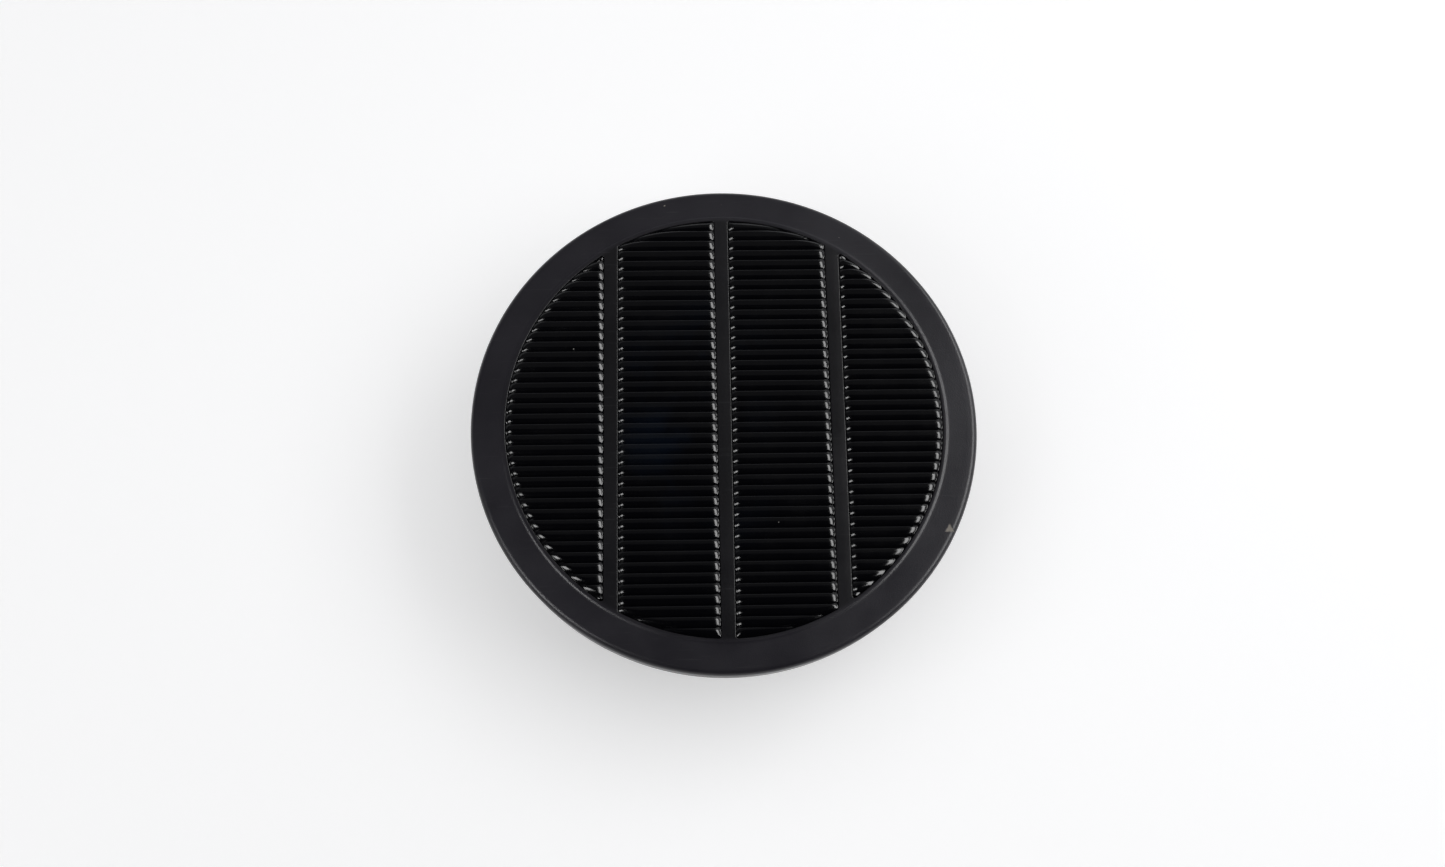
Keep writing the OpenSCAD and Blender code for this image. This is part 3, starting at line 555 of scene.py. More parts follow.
def fan_plastic():
    """Glass-filled nylon: short fibres show as pale streaks on the blades."""
    finish = Finish("glass_filled_nylon", 0.44)
    grains = finish.effect(GRAIN, Grains_per_Metre=1800.0, Flow_per_Metre=35.0)
    stretched = add(finish.tree, "ShaderNodeMapping", {"Vector": finish.place(), "Scale": (1.0, 6.0, 1.0)})
    fibres = noise(finish.tree, stretched, 700.0, 3.0, 0.6)
    base = finish.mix(grains["Tone"], (0.011, 0.011, 0.0125), (0.021, 0.021, 0.023))
    finish.colour(finish.mix(step_up(fibres, 0.6, 0.72) * 0.5, base, (0.055, 0.055, 0.058)))
    finish.rough(fibres * 0.2 + 0.34)
    finish.bump(grains["Height"] * 0.6 + fibres * 0.4, 0.05 * MM)
    return finish


MATERIALS = {
    "cap_plastic": cap_plastic(),
    "window_plastic": window_plastic(),
    "seal_rubber": seal_rubber(),
    "gasket_foam": foam_rubber(),
    "solar_cell": solar_cell(),
    "panel_board": circuit_board("panel_board_mask", (0.008, 0.03, 0.018), 0.0),
    "driver_board": circuit_board("driver_board_mask", (0.01, 0.055, 0.026), 1.0),
    "tinned_copper": lined_metal("tinned_copper", (0.6, 0.61, 0.63), 0.3, (3000.0, 60.0, 60.0)),
    "junction_plastic": moulded("junction_black", (0.012, 0.012, 0.013), 0.5, 3200.0),
    "tray_plastic": moulded("matte_black_tray", (0.015, 0.015, 0.0175), 0.52, 2400.0, 0.08 * MM),
    "zinc_steel": zinc_steel(),
    "brass": lined_metal("turned_brass", (0.62, 0.43, 0.17), 0.28),
    "switch_plastic": moulded("switch_black", (0.011, 0.011, 0.012), 0.4, 4200.0, 0.04 * MM),
    "rocker_plastic": moulded("rocker_polished", (0.02, 0.02, 0.023), 0.26, 5200.0, 0.015 * MM),
    "aluminium": lined_metal("turned_aluminium", (0.7, 0.71, 0.73), 0.3),
    "phenolic": phenolic(),
    "lead_red": lead_insulation("lead_red", (0.26, 0.012, 0.01)),
    "lead_black": lead_insulation("lead_black", (0.012, 0.012, 0.012)),
    "screen_metal": coated_screen(),
    "base_plastic": moulded("base_black", (0.018, 0.018, 0.021), 0.5, 2000.0, 0.09 * MM, 1.4, 0.1),
    "bracket_steel": galvanised_steel(),
    "bright_steel": lined_metal("ground_steel", (0.66, 0.67, 0.69), 0.18),
    "lamination_steel": lined_metal("stacked_laminations", (0.36, 0.36, 0.39), 0.42,
                                    (40.0, 40.0, 9000.0), 0.06 * MM),
    "copper_wire": copper_windings(),
    "magnet": ferrite(),
    "fan_plastic": fan_plastic(),
    "nylon": moulded("natural_nylon", (0.62, 0.6, 0.52), 0.42, 2600.0, 0.03 * MM, 1.15),
    "spring_steel": lined_metal("phosphated_spring_steel", (0.16, 0.16, 0.17), 0.4),
}


# ---------------------------------------------------------------- pieces
def linked(name, data):
    """An object in the scene with this mesh, lamp or camera."""
    holder = bpy.data.objects.new(name, data)
    bpy.context.scene.collection.objects.link(holder)
    return holder


def settled(holder):
    """The plain mesh that a holder's modifiers make; the holder itself goes."""
    name = holder.name
    mesh = bpy.data.meshes.new_from_object(holder.evaluated_get(bpy.context.evaluated_depsgraph_get()))
    bpy.data.objects.remove(holder)
    mesh.name = name
    return mesh


def new_piece(name, mesh, body, finish, *stands_for, slot=None):
    """Links a mesh as a piece that rides on a body and stands for CAD nodes."""
    piece = linked(name, mesh)
    mesh.materials.clear()
    mesh.materials.append(MATERIALS[finish].material)
    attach(piece, body)
    if stands_for:
        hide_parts(*stands_for)
    return piece


def smooth_by_angle(mesh, degrees):
    mesh.polygons.foreach_set("use_smooth", [True] * len(mesh.polygons))
    mesh.set_sharp_from_angle(angle=math.radians(degrees))


def mesh_of(bm, name, smooth=MOULD_ANGLE):
    bmesh.ops.recalc_face_normals(bm, faces=bm.faces[:])
    mesh = bpy.data.meshes.new(name)
    bm.to_mesh(mesh)
    bm.free()
    smooth_by_angle(mesh, smooth)
    return mesh


def merged_copy(node):
    """The CAD node's shape with its loose triangles joined."""
    bm = bmesh.new()
    bm.from_mesh(frame["nodes"][node].data)
    bmesh.ops.remove_doubles(bm, verts=bm.verts[:], dist=WELD)
    return bm


def broken_edges(node, name, finish, edge, slot):
    """The node's shape with its sharp edges rounded off, as a tool or a mould leaves them."""
    bm = merged_copy(node)
    flat = math.radians(1)
    bmesh.ops.dissolve_limit(bm, angle_limit=flat, verts=bm.verts[:], edges=bm.edges[:], delimit={"NORMAL"})
    mesh = bpy.data.meshes.new(name)
    bm.to_mesh(mesh)
    bm.free()
    holder = linked(name, mesh)
    bevel = holder.modifiers.new("edges", "BEVEL")
    bevel.width = edge
    bevel.segments = BEVEL_STEPS
    bevel.limit_method = "ANGLE"
    bevel.angle_limit = math.radians(MOULD_ANGLE)
    shaped = settled(holder)
    smooth_by_angle(shaped, 32)
    new_piece(name, shaped, NODE_BODY[node], finish, node, slot=slot)


# ---------------------------------------------------------------- cap moulding
def arc_points(centre, radius, first, last, step):
    """Points and outward directions along an arc, by the angle in degrees."""
    count = max(2, round(abs(last - first) / step) + 1)
    made = []
    for i in range(count):
        turn = math.radians(first + (last - first) * i / (count - 1))
        out = Vector((math.cos(turn), math.sin(turn)))
        made.append((centre + out * radius, out))
    return made


def opening_outline(left, right, corner=1.0 * MM):
    """One opening for a column of ribs, counter-clockwise; right is None where the circle ends it."""
    arc_step = 1.0
    corner_step = 15

    def corner_at(x_in):
        across = math.sqrt((WINDOW_R - corner) ** 2 - x_in ** 2)
        return across, math.degrees(math.atan2(across, x_in))

    def round_corner(x, y, first, last):
        return arc_points(Vector((x, y)), corner, first, last, corner_step)

    def along_circle(first, last):
        return arc_points(Vector((0, 0)), WINDOW_R, first, last, arc_step)

    outline = []
    left_y, left_turn = corner_at(left + corner)
    if right is None:
        outline += along_circle(-left_turn, left_turn)
    else:
        right_y, right_turn = corner_at(right - corner)
        outline += round_corner(right - corner, -right_y, -right_turn, 0)
        outline += round_corner(right - corner, right_y, 0, right_turn)
        outline += along_circle(right_turn, left_turn)[1:]
    outline += round_corner(left + corner, left_y, left_turn, 180)[1:]
    outline += round_corner(left + corner, -left_y, 180, 360 - left_turn)
    if right is None:
        return outline[:-1]
    return outline + along_circle(360 - left_turn, 360 - right_turn)[1:-1]


def mirrored(outline):
    return [(Vector((-p.x, p.y)), Vector((-n.x, n.y))) for p, n in reversed(outline)]


def window_openings():
    half = BAR_W / 2
    inner = opening_outline(half, COLUMN_PITCH - half)
    outer = opening_outline(COLUMN_PITCH + half, None)
    return [inner, outer, mirrored(inner), mirrored(outer)]


def bar_crown(x, y):
    """How far the top has fallen from the crest of the nearest bar."""
    off = min(abs(x - bar) for bar in BARS) / (BAR_W / 2)
    fade = min(1.0, max(0.0, (WINDOW_R + 1 * MM - math.hypot(x, y)) / (4 * MM)))
    return 0.2 * MM * min(off, 1.2) ** 2 * fade * fade * (3 - 2 * fade)


def flat_between(bm, outer, holes, inner_points, facing):
    """Fills the plan between an outer loop of vertices and holes with triangles."""
    loops = [outer, *holes]
    verts = [v for loop in loops for v in loop]
    edges = []
    start = 0
    for loop in loops:
        edges += [(start + i, start + (i + 1) % len(loop)) for i in range(len(loop))]
        start += len(loop)
    verts += inner_points
    places = [v.co.xy for v in verts]
    same_point = 1e-7
    found, _, faces, _, _, _ = delaunay_2d_cdt(places, edges, [], 0, same_point)
    known = {i: verts[i] for i in range(min(len(found), len(verts)))}
    for i in range(len(verts), len(found)):
        known[i] = min(verts, key=lambda v: (v.co.xy - found[i]).length_squared)
    hole_plans = [[v.co.xy for v in hole] for hole in holes]
    outer_plan = [v.co.xy for v in outer]
    for face in faces:
        middle = sum((found[i] for i in face), Vector((0, 0))) / len(face)
        if inside(middle, outer_plan) and not any(inside(middle, plan) for plan in hole_plans):
            corners = [known[i] for i in face]
            bm.faces.new(corners if facing > 0 else corners[::-1])


def inside(point, plan):
    """Whether a point is inside a closed plan, by counting crossings."""
    crossed = False
    for a, b in zip(plan, plan[1:] + plan[:1]):
        if (a.y > point.y) != (b.y > point.y):
            crossed ^= point.x < a.x + (point.y - a.y) * (b.x - a.x) / (b.y - a.y)
    return crossed


def bridge(bm, lower, upper):
    for i in range(len(lower)):
        j = (i + 1) % len(lower)
        bm.faces.new((lower[i], lower[j], upper[j], upper[i]))


def ring_of_verts(bm, radius, z, count):
    turns = [i * math.tau / count for i in range(count)]
    return [bm.verts.new((radius * math.cos(turn), radius * math.sin(turn), z)) for turn in turns]


def lathe(bm, profile, count, centre=(0, 0)):
    """A closed turned shape round a vertical line, from a closed profile of (radius, z)."""
    rings = []
    for radius, z in profile:
        ring = ring_of_verts(bm, radius, z, count)
        for vert in ring:
            vert.co.x += centre[0]
            vert.co.y += centre[1]
        rings.append(ring)
    for ring, following in zip(rings, rings[1:] + rings[:1]):
        bridge(bm, ring, following)


def quarter_round(centre_r, centre_z, radius, first, last, count):
    """Profile points (radius, z) along part of a circle, by the angle in degrees."""
    made = []
    for i in range(count + 1):
        turn = math.radians(first + (last - first) * i / count)
        made.append((centre_r + radius * math.cos(turn), centre_z + radius * math.sin(turn)))
    return made


def cap_outer_profile():
    """Shoulder round the window, shallow rim, rounded edge, outer wall and its inside."""
    wall_in = CAP_R - SKIRT_T
    lip = 0.6 * MM
    draft = 0.9 * MM
    top_curve = ((0.25, 0.03), (0.55, 0.14), (0.85, 0.31), (1.15, 0.45), (1.55, 0.53),
                 (2.2, 0.57), (4.0, 0.66), (7.0, 0.80), (9.6, 0.93))
    profile = [(SHOULDER_R + out * MM, RIM_TOP - down * MM) for out, down in top_curve]
    profile += quarter_round(OUTER_R - EDGE_R, EDGE_Z, EDGE_R, 86, 0, 10)
    profile.append((OUTER_R - draft, SKIRT_LOW + lip))
    profile += quarter_round(OUTER_R - draft - lip, SKIRT_LOW + lip, lip, -22, -90, 3)
    profile += quarter_round(wall_in + lip, SKIRT_LOW + lip, lip, -90, -180, 4)
    profile += [(wall_in, RIM_TOP - RIM_T - 1 * MM), (wall_in, RIM_TOP - RIM_T)]
    return profile


def broken_edge_openings(bm):
    """The walls of the four openings; returns the loops of each at the underside and at the top."""
    edge = 0.35 * MM
    quarter = [i * math.pi / 10 for i in range(6)]
    rows = [(0, RIM_TOP - RIM_T), (0, RIM_TOP - 1 * MM)]
    rows += [(edge - edge * math.cos(a), RIM_TOP - edge + edge * math.sin(a)) for a in quarter]
    rows.append((edge + 0.2 * MM, RIM_TOP))
    under_loops = []
    top_loops = []
    for outline in window_openings():
        loops = [[bm.verts.new((*(p + n * offset), z)) for p, n in outline] for offset, z in rows]
        for lower, upper in zip(loops, loops[1:]):
            bridge(bm, lower, upper)
        under_loops.append(loops[0])
        top_loops.append(loops[-1])
    return under_loops, top_loops


def crown_verts(bm):
    """Rows of loose vertices along each bar, which let its top bend to the crown."""
    steps = 48
    row = (-1.4 * MM, 0 * MM, 1.4 * MM)
    made = []
    for bar in BARS:
        half = math.sqrt(WINDOW_R ** 2 - (abs(bar) + 1 * MM) ** 2)
        for i in range(steps + 1):
            y = half * (2 * i / steps - 1)
            made += [bm.verts.new((bar + off, y, RIM_TOP)) for off in row]
    return made


def screw_bosses(bm):
    """Hollow bosses under the rim, which take the screws of the tray."""
    boss_r = 3.4 * MM
    bore_r = 1.25 * MM
    edge = 0.3 * MM
    low = RIM_TOP - 12 * MM
    high = RIM_TOP - RIM_T + 0.2 * MM
    profile = [(bore_r, low), (boss_r - edge, low), (boss_r, low + edge), (boss_r, high), (bore_r, high)]
    for i in range(BOSS_COUNT):
        turn = (i + 0.5) * math.tau / BOSS_COUNT
        lathe(bm, profile, 32, (BOSS_POS * math.cos(turn), BOSS_POS * math.sin(turn)))


def cap_shell():
    """The cap moulding: rim, three crowned bars and the four openings with broken edges."""
    count = 360
    bm = bmesh.new()
    under_loops, top_loops = broken_edge_openings(bm)
    rows = [ring_of_verts(bm, SHOULDER_R, RIM_TOP, count)]
    for radius, z in cap_outer_profile():
        rows.append(ring_of_verts(bm, radius, z, count))
    for ring, following in zip(rows, rows[1:]):
        bridge(bm, ring, following)
    flat_between(bm, rows[0], top_loops, crown_verts(bm), 1)
    flat_between(bm, rows[-1], under_loops, [], -1)
    for vert in bm.verts:
        if vert.co.z > RIM_TOP - 0.9 * MM and math.hypot(vert.co.x, vert.co.y) < SHOULDER_R:
            vert.co.z -= bar_crown(vert.co.x, vert.co.y)
    screw_bosses(bm)
    new_piece("cap_shell", mesh_of(bm, "cap_shell"), "housing", "cap_plastic", "cap_cover")


# ---------------------------------------------------------------- geometry node trees
def geometry_tree(name, inputs):
    """An empty geometry tree that puts out one shape."""
    return new_tree(name, "GeometryNodeTree", inputs, ["Geometry"], "NodeSocketGeometry")


def grow(tree, kind, inputs=None, **settings):
    return add(tree, "GeometryNode" + kind, inputs, **settings)


def numbered(tree):
    """The number of each point, from 0."""
    return Field(tree, grow(tree, "InputIndex").outputs[0])


def on_circle(tree, turn, radius, height):
    return join_xyz(tree, turn.cosine() * radius, turn.sine() * radius, height)


def close_tree(tree, geometry, end, finish):
    """Realize Instances and Set Material, as every tree ends."""
    real = grow(tree, "RealizeInstances", {0: geometry})
    coat = grow(tree, "SetMaterial", {"Geometry": real, "Material": MATERIALS[finish].material})
    feed(tree, coat, end.inputs[0])


def grown(name, tree, values):
    """The plain mesh that a geometry tree makes with these values."""
    holder = linked(name, bpy.data.meshes.new(name))
    grower = holder.modifiers.new("grow", "NODES")
    grower.node_group = tree
    for item in tree.interface.items_tree:
        if item.item_type == "SOCKET" and item.in_out == "INPUT" and item.name in values:
            grower[item.identifier] = values[item.name]
    return settled(holder)


def ribbed_column_tree():
    """One column of crosswise ribs between two bars, ending along the window's circle."""
    tree, given, end = geometry_tree("Ribbed Column", {
        "Left": 0.0, "Right": 0.05, "Radius": 0.1, "Reach": 0.1,
        "Rib Pitch": RIB_PITCH, "Valley Depth": RIB_DEPTH,
        "Crest Height": CREST_Z, "Foot Height": PLATE_TOP,
        "Nose Length": 3.4 * MM, "Nose Drop": 1.35 * MM, "Nose Round": 0.5 * MM,
        "Fade Length": 3.0 * MM, "Edge Relief": 0.55,
        "Rows": 481, "Steps": 41, "Span": 0.2,
    })
    sheet = grow(tree, "MeshGrid", {
        "Size X": 1.0, "Size Y": 1.0, "Vertices X": given["Steps"], "Vertices Y": given["Rows"]})
    u, v, _ = split_xyz(tree, grow(tree, "InputPosition").outputs[0])
    along = u + 0.5
    rib_count = v * given["Span"] / given["Rib Pitch"]
    crowded = rib_count - rib_count.part() - (rib_count.part() * math.pi).cosine() * 0.5 + 0.5
    y = (crowded * given["Rib Pitch"]).within(-given["Reach"], given["Reach"])
    arc = (given["Radius"] * given["Radius"] - y * y).most(0.0).root()
    first = given["Left"].most(-arc)
    last = given["Right"].least(arc)
    eased = along * along * (along * -2.0 + 3.0)
    x = first + (last - first) * eased
    blend = 0.8 * MM
    inset = (x - given["Left"]).math("SMOOTH_MIN", given["Right"] - x, blend)
    inset = inset.math("SMOOTH_MIN", given["Radius"] - (x * x + y * y).root(), blend).most(0.0)
    off = ((y / given["Rib Pitch"]).part() - 0.5) * 2.0
    fall = off * off * off.size() * given["Valley Depth"]
    near = ((inset - off * off * given["Nose Round"]) / given["Nose Length"]).within(0.0, 1.0)
    grown_in = step_up((inset / given["Fade Length"]).within(0.0, 1.0), 0.0, 1.0)
    relief = grown_in * (given["Edge Relief"] * -1.0 + 1.0) + given["Edge Relief"]
    slope = near * -1.0 + 1.0
    top = given["Crest Height"] - fall * relief - slope * slope * given["Nose Drop"]
    surface = grow(tree, "SetPosition", {"Geometry": sheet, "Position": join_xyz(tree, x, y, top)})
    welded = grow(tree, "MergeByDistance", {"Geometry": surface, "Distance": 0.004 * MM})
    faces_at = grow(tree, "InputMeshEdgeNeighbors")
    open_edge = add(tree, "FunctionNodeCompare", {2: faces_at, 3: 1}, data_type="INT", operation="EQUAL")
    wall = grow(tree, "ExtrudeMesh", {"Mesh": welded, "Selection": open_edge, "Offset Scale": 0.0},
                mode="EDGES")
    wx, wy, _ = split_xyz(tree, grow(tree, "InputPosition").outputs[0])
    foot = grow(tree, "SetPosition", {
        "Geometry": wall.outputs["Mesh"], "Selection": wall.outputs["Top"],
        "Position": join_xyz(tree, wx, wy, given["Foot Height"])})
    close_tree(tree, foot, end, "window_plastic")
    return tree


def ribbed_window():
    """The gloss window: a round plate with four columns of ribs standing up from it."""
    tree = ribbed_column_tree()
    radius = WINDOW_R - WINDOW_GAP
    near = BAR_W / 2 + WINDOW_GAP
    far = COLUMN_PITCH - near
    columns = ((near, far), (COLUMN_PITCH + near, WINDOW_R + 5 * MM))
    rows_per_rib = 12
    ribs = 2 * math.ceil(WINDOW_R / RIB_PITCH)
    bm = bmesh.new()
    for left, right in columns:
        for side in (1, -1):
            low, high = (left, right) if side > 0 else (-right, -left)
            mesh = grown("column", tree, {
                "Left": low, "Right": high, "Radius": radius,
                "Reach": math.sqrt(radius ** 2 - (left + 2 * MM) ** 2),
                "Foot Height": PLATE_TOP - 0.2 * MM,
                "Rows": ribs * rows_per_rib + 1, "Span": ribs * RIB_PITCH,
            })
            bm.from_mesh(mesh)
            bpy.data.meshes.remove(mesh)
    bmesh.ops.holes_fill(bm, edges=[e for e in bm.edges if e.is_boundary])
    edge = 0.25 * MM
    pole = 0.0001 * MM
    plate = [(pole, WINDOW_LOW.z), (PLATE_R - edge, WINDOW_LOW.z), (PLATE_R, WINDOW_LOW.z + edge),
             (PLATE_R, PLATE_TOP - edge), (PLATE_R - edge, PLATE_TOP), (pole, PLATE_TOP)]
    lathe(bm, plate, 180)
    poles = [v for v in bm.verts if math.hypot(v.co.x, v.co.y) < 0.1 * MM]
    bmesh.ops.remove_doubles(bm, verts=poles, dist=0.01 * MM)
    mesh = mesh_of(bm, "ribbed_window", 40)
    new_piece("ribbed_window", mesh, "housing", "window_plastic", "panel_window")


def screw_tree():
    """A ring of pan-head screws with cross recesses and threaded shanks."""
    tree, given, end = geometry_tree("Screw Ring", {
        "Head Radius": 2.4 * MM, "Head Height": 1.7 * MM, "Shank Radius": 1.2 * MM,
        "Length": 8.0 * MM, "Thread Pitch": 0.5 * MM, "Count": 8, "Ring Radius": 0.1,
        "First Angle": 0.0, "Height": 0.0, "Tilt": 0.0, "Seed": 3,
    })
    ball = grow(tree, "MeshUVSphere", {"Segments": 28, "Rings": 16, "Radius": 1.0})
    x, y, z = split_xyz(tree, grow(tree, "InputPosition").outputs[0])
    wide = (z * z * z * z * -1.0 + 1.0).most(0.0).root().math("SQRT")
    thin = (z * z * -1.0 + 1.0).most(0.000001).root()
    swell = wide / thin * given["Head Radius"]
    dome = join_xyz(tree, x * swell, y * swell, z.most(0.0) * given["Head Height"])
    head = grow(tree, "SetPosition", {"Geometry": ball, "Position": dome})
    head_whole = grow(tree, "MergeByDistance", {"Geometry": head, "Distance": 0.002 * MM})
    arms = []
    for turn in (0.0, math.pi / 2):
        arm = grow(tree, "MeshCube", {
            "Size": join_xyz(tree, given["Head Radius"] * 1.15, given["Head Radius"] * 0.26,
                             given["Head Height"] * 1.2)})
        arms.append(grow(tree, "Transform", {
            "Geometry": arm, "Rotation": (0.0, 0.0, turn),
            "Translation": join_xyz(tree, 0.0, 0.0, given["Head Height"] * 1.08)}))
    cut = grow(tree, "MeshBoolean", operation="DIFFERENCE")
    feed(tree, head_whole, cut.inputs["Mesh 1"])
    for arm in arms:
        feed(tree, arm, cut.inputs["Mesh 2"])
    line = grow(tree, "MeshLine", {
        "Count": (given["Length"] / given["Thread Pitch"] * 2.0).math("ROUND"),
        "Start Location": join_xyz(tree, 0.0, 0.0, given["Head Height"] * 0.2),
        "Offset": join_xyz(tree, 0.0, 0.0, given["Thread Pitch"] * -0.5)})
    curve = grow(tree, "MeshToCurve", {"Mesh": line})
    ridge = numbered(tree).math("MODULO", 2.0) * 0.14 + 0.86
    sized = grow(tree, "SetCurveRadius", {"Curve": curve, "Radius": ridge})
    ring = grow(tree, "CurvePrimitiveCircle", {"Resolution": 14, "Radius": 1.0})
    scaled = grow(tree, "Transform", {
        "Geometry": ring,
        "Scale": join_xyz(tree, given["Shank Radius"], given["Shank Radius"], given["Shank Radius"])})
    shank = grow(tree, "CurveToMesh", {"Curve": sized, "Profile Curve": scaled, "Fill Caps": True})
    feed(tree, grow(tree, "InputRadius"), shank.inputs["Scale"])
    screw = grow(tree, "JoinGeometry")
    feed(tree, cut.outputs["Mesh"], screw.inputs[0])
    feed(tree, shank, screw.inputs[0])
    turn = given["First Angle"] + numbered(tree) * math.tau / given["Count"]
    circle = on_circle(tree, turn, given["Ring Radius"], given["Height"])
    places = grow(tree, "Points", {"Count": given["Count"], "Position": circle})
    copies = grow(tree, "InstanceOnPoints", {
        "Points": places, "Instance": screw,
        "Rotation": join_xyz(tree, 0.0, given["Tilt"], turn)})
    spin = add(tree, "FunctionNodeRandomValue", {"Min": 0.0, "Max": 1.57, "Seed": given["Seed"]},
               data_type="FLOAT")
    spin_socket = [s for s in spin.outputs if s.enabled][0]
    turned = grow(tree, "RotateInstances", {
        "Instances": copies, "Rotation": join_xyz(tree, 0.0, 0.0, Field(tree, spin_socket)),
        "Local Space": True})
    close_tree(tree, turned, end, "zinc_steel")
    return tree


def screw_rings():
    """Every screw of the fan, ring by ring, each ring in the place of its CAD node."""
    tree = screw_tree()
    seat = 0.02 * MM
    tilts = {"under": math.pi, "top": 0.0, "side": math.pi / 2}
    # node, side of its heads, head radius and height, shank radius, length, count, ring radius, first angle
    rings = (
        ("tray_screws", "under", 2.4, 1.7, 1.2, 8.0, BOSS_COUNT, 108.0, 22.5),
        ("post_screws", "under", 3.6, 2.6, 1.95, 27.0, 4, 86.0, 45.0),
        ("bracket_screws", "top", 2.8, 1.8, 1.4, 4.6, 4, 69.5, 0.0),
        ("guard_screws", "under", 2.4, 1.6, 1.2, 5.6, 4, 69.0, 45.0),
        ("collar_screws", "side", 3.6, 2.4, 1.9, 5.8, 4, 78.4, 0.0),
    )
    for seed, row in enumerate(rings):
        node, side, head_r, head_h, shank_r, length, count, ring_r, first = row
        low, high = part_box(node)
        heights = {"under": low.z + head_h * MM, "top": high.z - head_h * MM, "side": high.z - head_r * MM}
        mesh = grown(node + "_turned", tree, {
            "Head Radius": head_r * MM - seat, "Head Height": head_h * MM - seat,
            "Shank Radius": shank_r * MM, "Length": length * MM, "Count": count,
            "Ring Radius": ring_r * MM, "First Angle": math.radians(first),
            "Height": heights[side], "Tilt": tilts[side], "Seed": seed,
        })
        smooth_by_angle(mesh, 30)
        new_piece(node + "_turned", mesh, "housing", "zinc_steel", node)


def wire_screen_tree():
    """A cylinder of crossed wires."""
    tree, given, end = geometry_tree("Wire Screen", {
        "Radius": 75.5 * MM, "Low": 19.0 * MM, "Height": 16.0 * MM,
        "Uprights": 240, "Hoops": 8, "Wire Radius": 0.2 * MM,
    })
    turn = numbered(tree) * math.tau / given["Uprights"]
    circle = on_circle(tree, turn, given["Radius"], given["Low"] + given["Height"] * 0.5)
    middles = grow(tree, "Points", {"Count": given["Uprights"], "Position": circle})
    upright = grow(tree, "MeshCylinder", {
        "Vertices": 6, "Radius": given["Wire Radius"], "Depth": given["Height"]})
    uprights = grow(tree, "InstanceOnPoints", {"Points": middles, "Instance": upright})
    level = numbered(tree)
    levels = grow(tree, "Points", {"Count": given["Hoops"], "Position": join_xyz(
        tree, 0.0, 0.0, given["Low"] + given["Height"] * (level + 0.5) / given["Hoops"])})
    hoop_line = grow(tree, "CurvePrimitiveCircle", {"Resolution": 240, "Radius": given["Radius"]})
    hoop_section = grow(tree, "CurvePrimitiveCircle", {"Resolution": 6, "Radius": given["Wire Radius"]})
    hoop = grow(tree, "CurveToMesh", {"Curve": hoop_line, "Profile Curve": hoop_section})
    hoops = grow(tree, "InstanceOnPoints", {"Points": levels, "Instance": hoop})
    both = grow(tree, "JoinGeometry")
    feed(tree, uprights, both.inputs[0])
    feed(tree, hoops, both.inputs[0])
    close_tree(tree, both, end, "screen_metal")
    return tree


def wire_screen():
    """Fine wire cloth behind the slots of the screen band."""
    low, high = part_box("insect_screen")
    wire = 0.2 * MM
    band_wall = 0.8 * MM
    band_edge = 1.2 * MM
    mesh = grown("wire_screen", wire_screen_tree(), {
        "Radius": high.x - band_wall - 1.6 * wire, "Low": low.z + band_edge,
        "Height": high.z - low.z - 2 * band_edge, "Wire Radius": wire,
    })
    smooth_by_angle(mesh, 50)
    new_piece("wire_screen", mesh, "housing", "screen_metal")


def leads(node, name, finishes, slot):
    """Round insulated leads: the CAD tube with its facets smoothed, one finish for each lead."""
    mesh = mesh_of(merged_copy(node), name, 60)
    piece = new_piece(name, mesh, "housing", finishes[0], node, slot=slot)
    for finish in finishes[1:]:
        mesh.materials.append(MATERIALS[finish].material)
    if len(finishes) > 1:
        paint_islands(mesh, len(finishes))
    rounder = piece.modifiers.new("rounder", "SUBSURF")
    rounder.levels = 1
    rounder.render_levels = 1


def paint_islands(mesh, count):
    """Gives each separate lead of a mesh its own material slot."""
    bm = bmesh.new()
    bm.from_mesh(mesh)
    seen = set()
    island = 0
    for face in bm.faces:
        if face in seen:
            continue
        queue = [face]
        seen.add(face)
        while queue:
            current = queue.pop()
            current.material_index = min(island, count - 1)
            for edge in current.edges:
                for other in edge.link_faces:
                    if other not in seen:
                        seen.add(other)
                        queue.append(other)
        island += 1
    bm.to_mesh(mesh)
    bm.free()


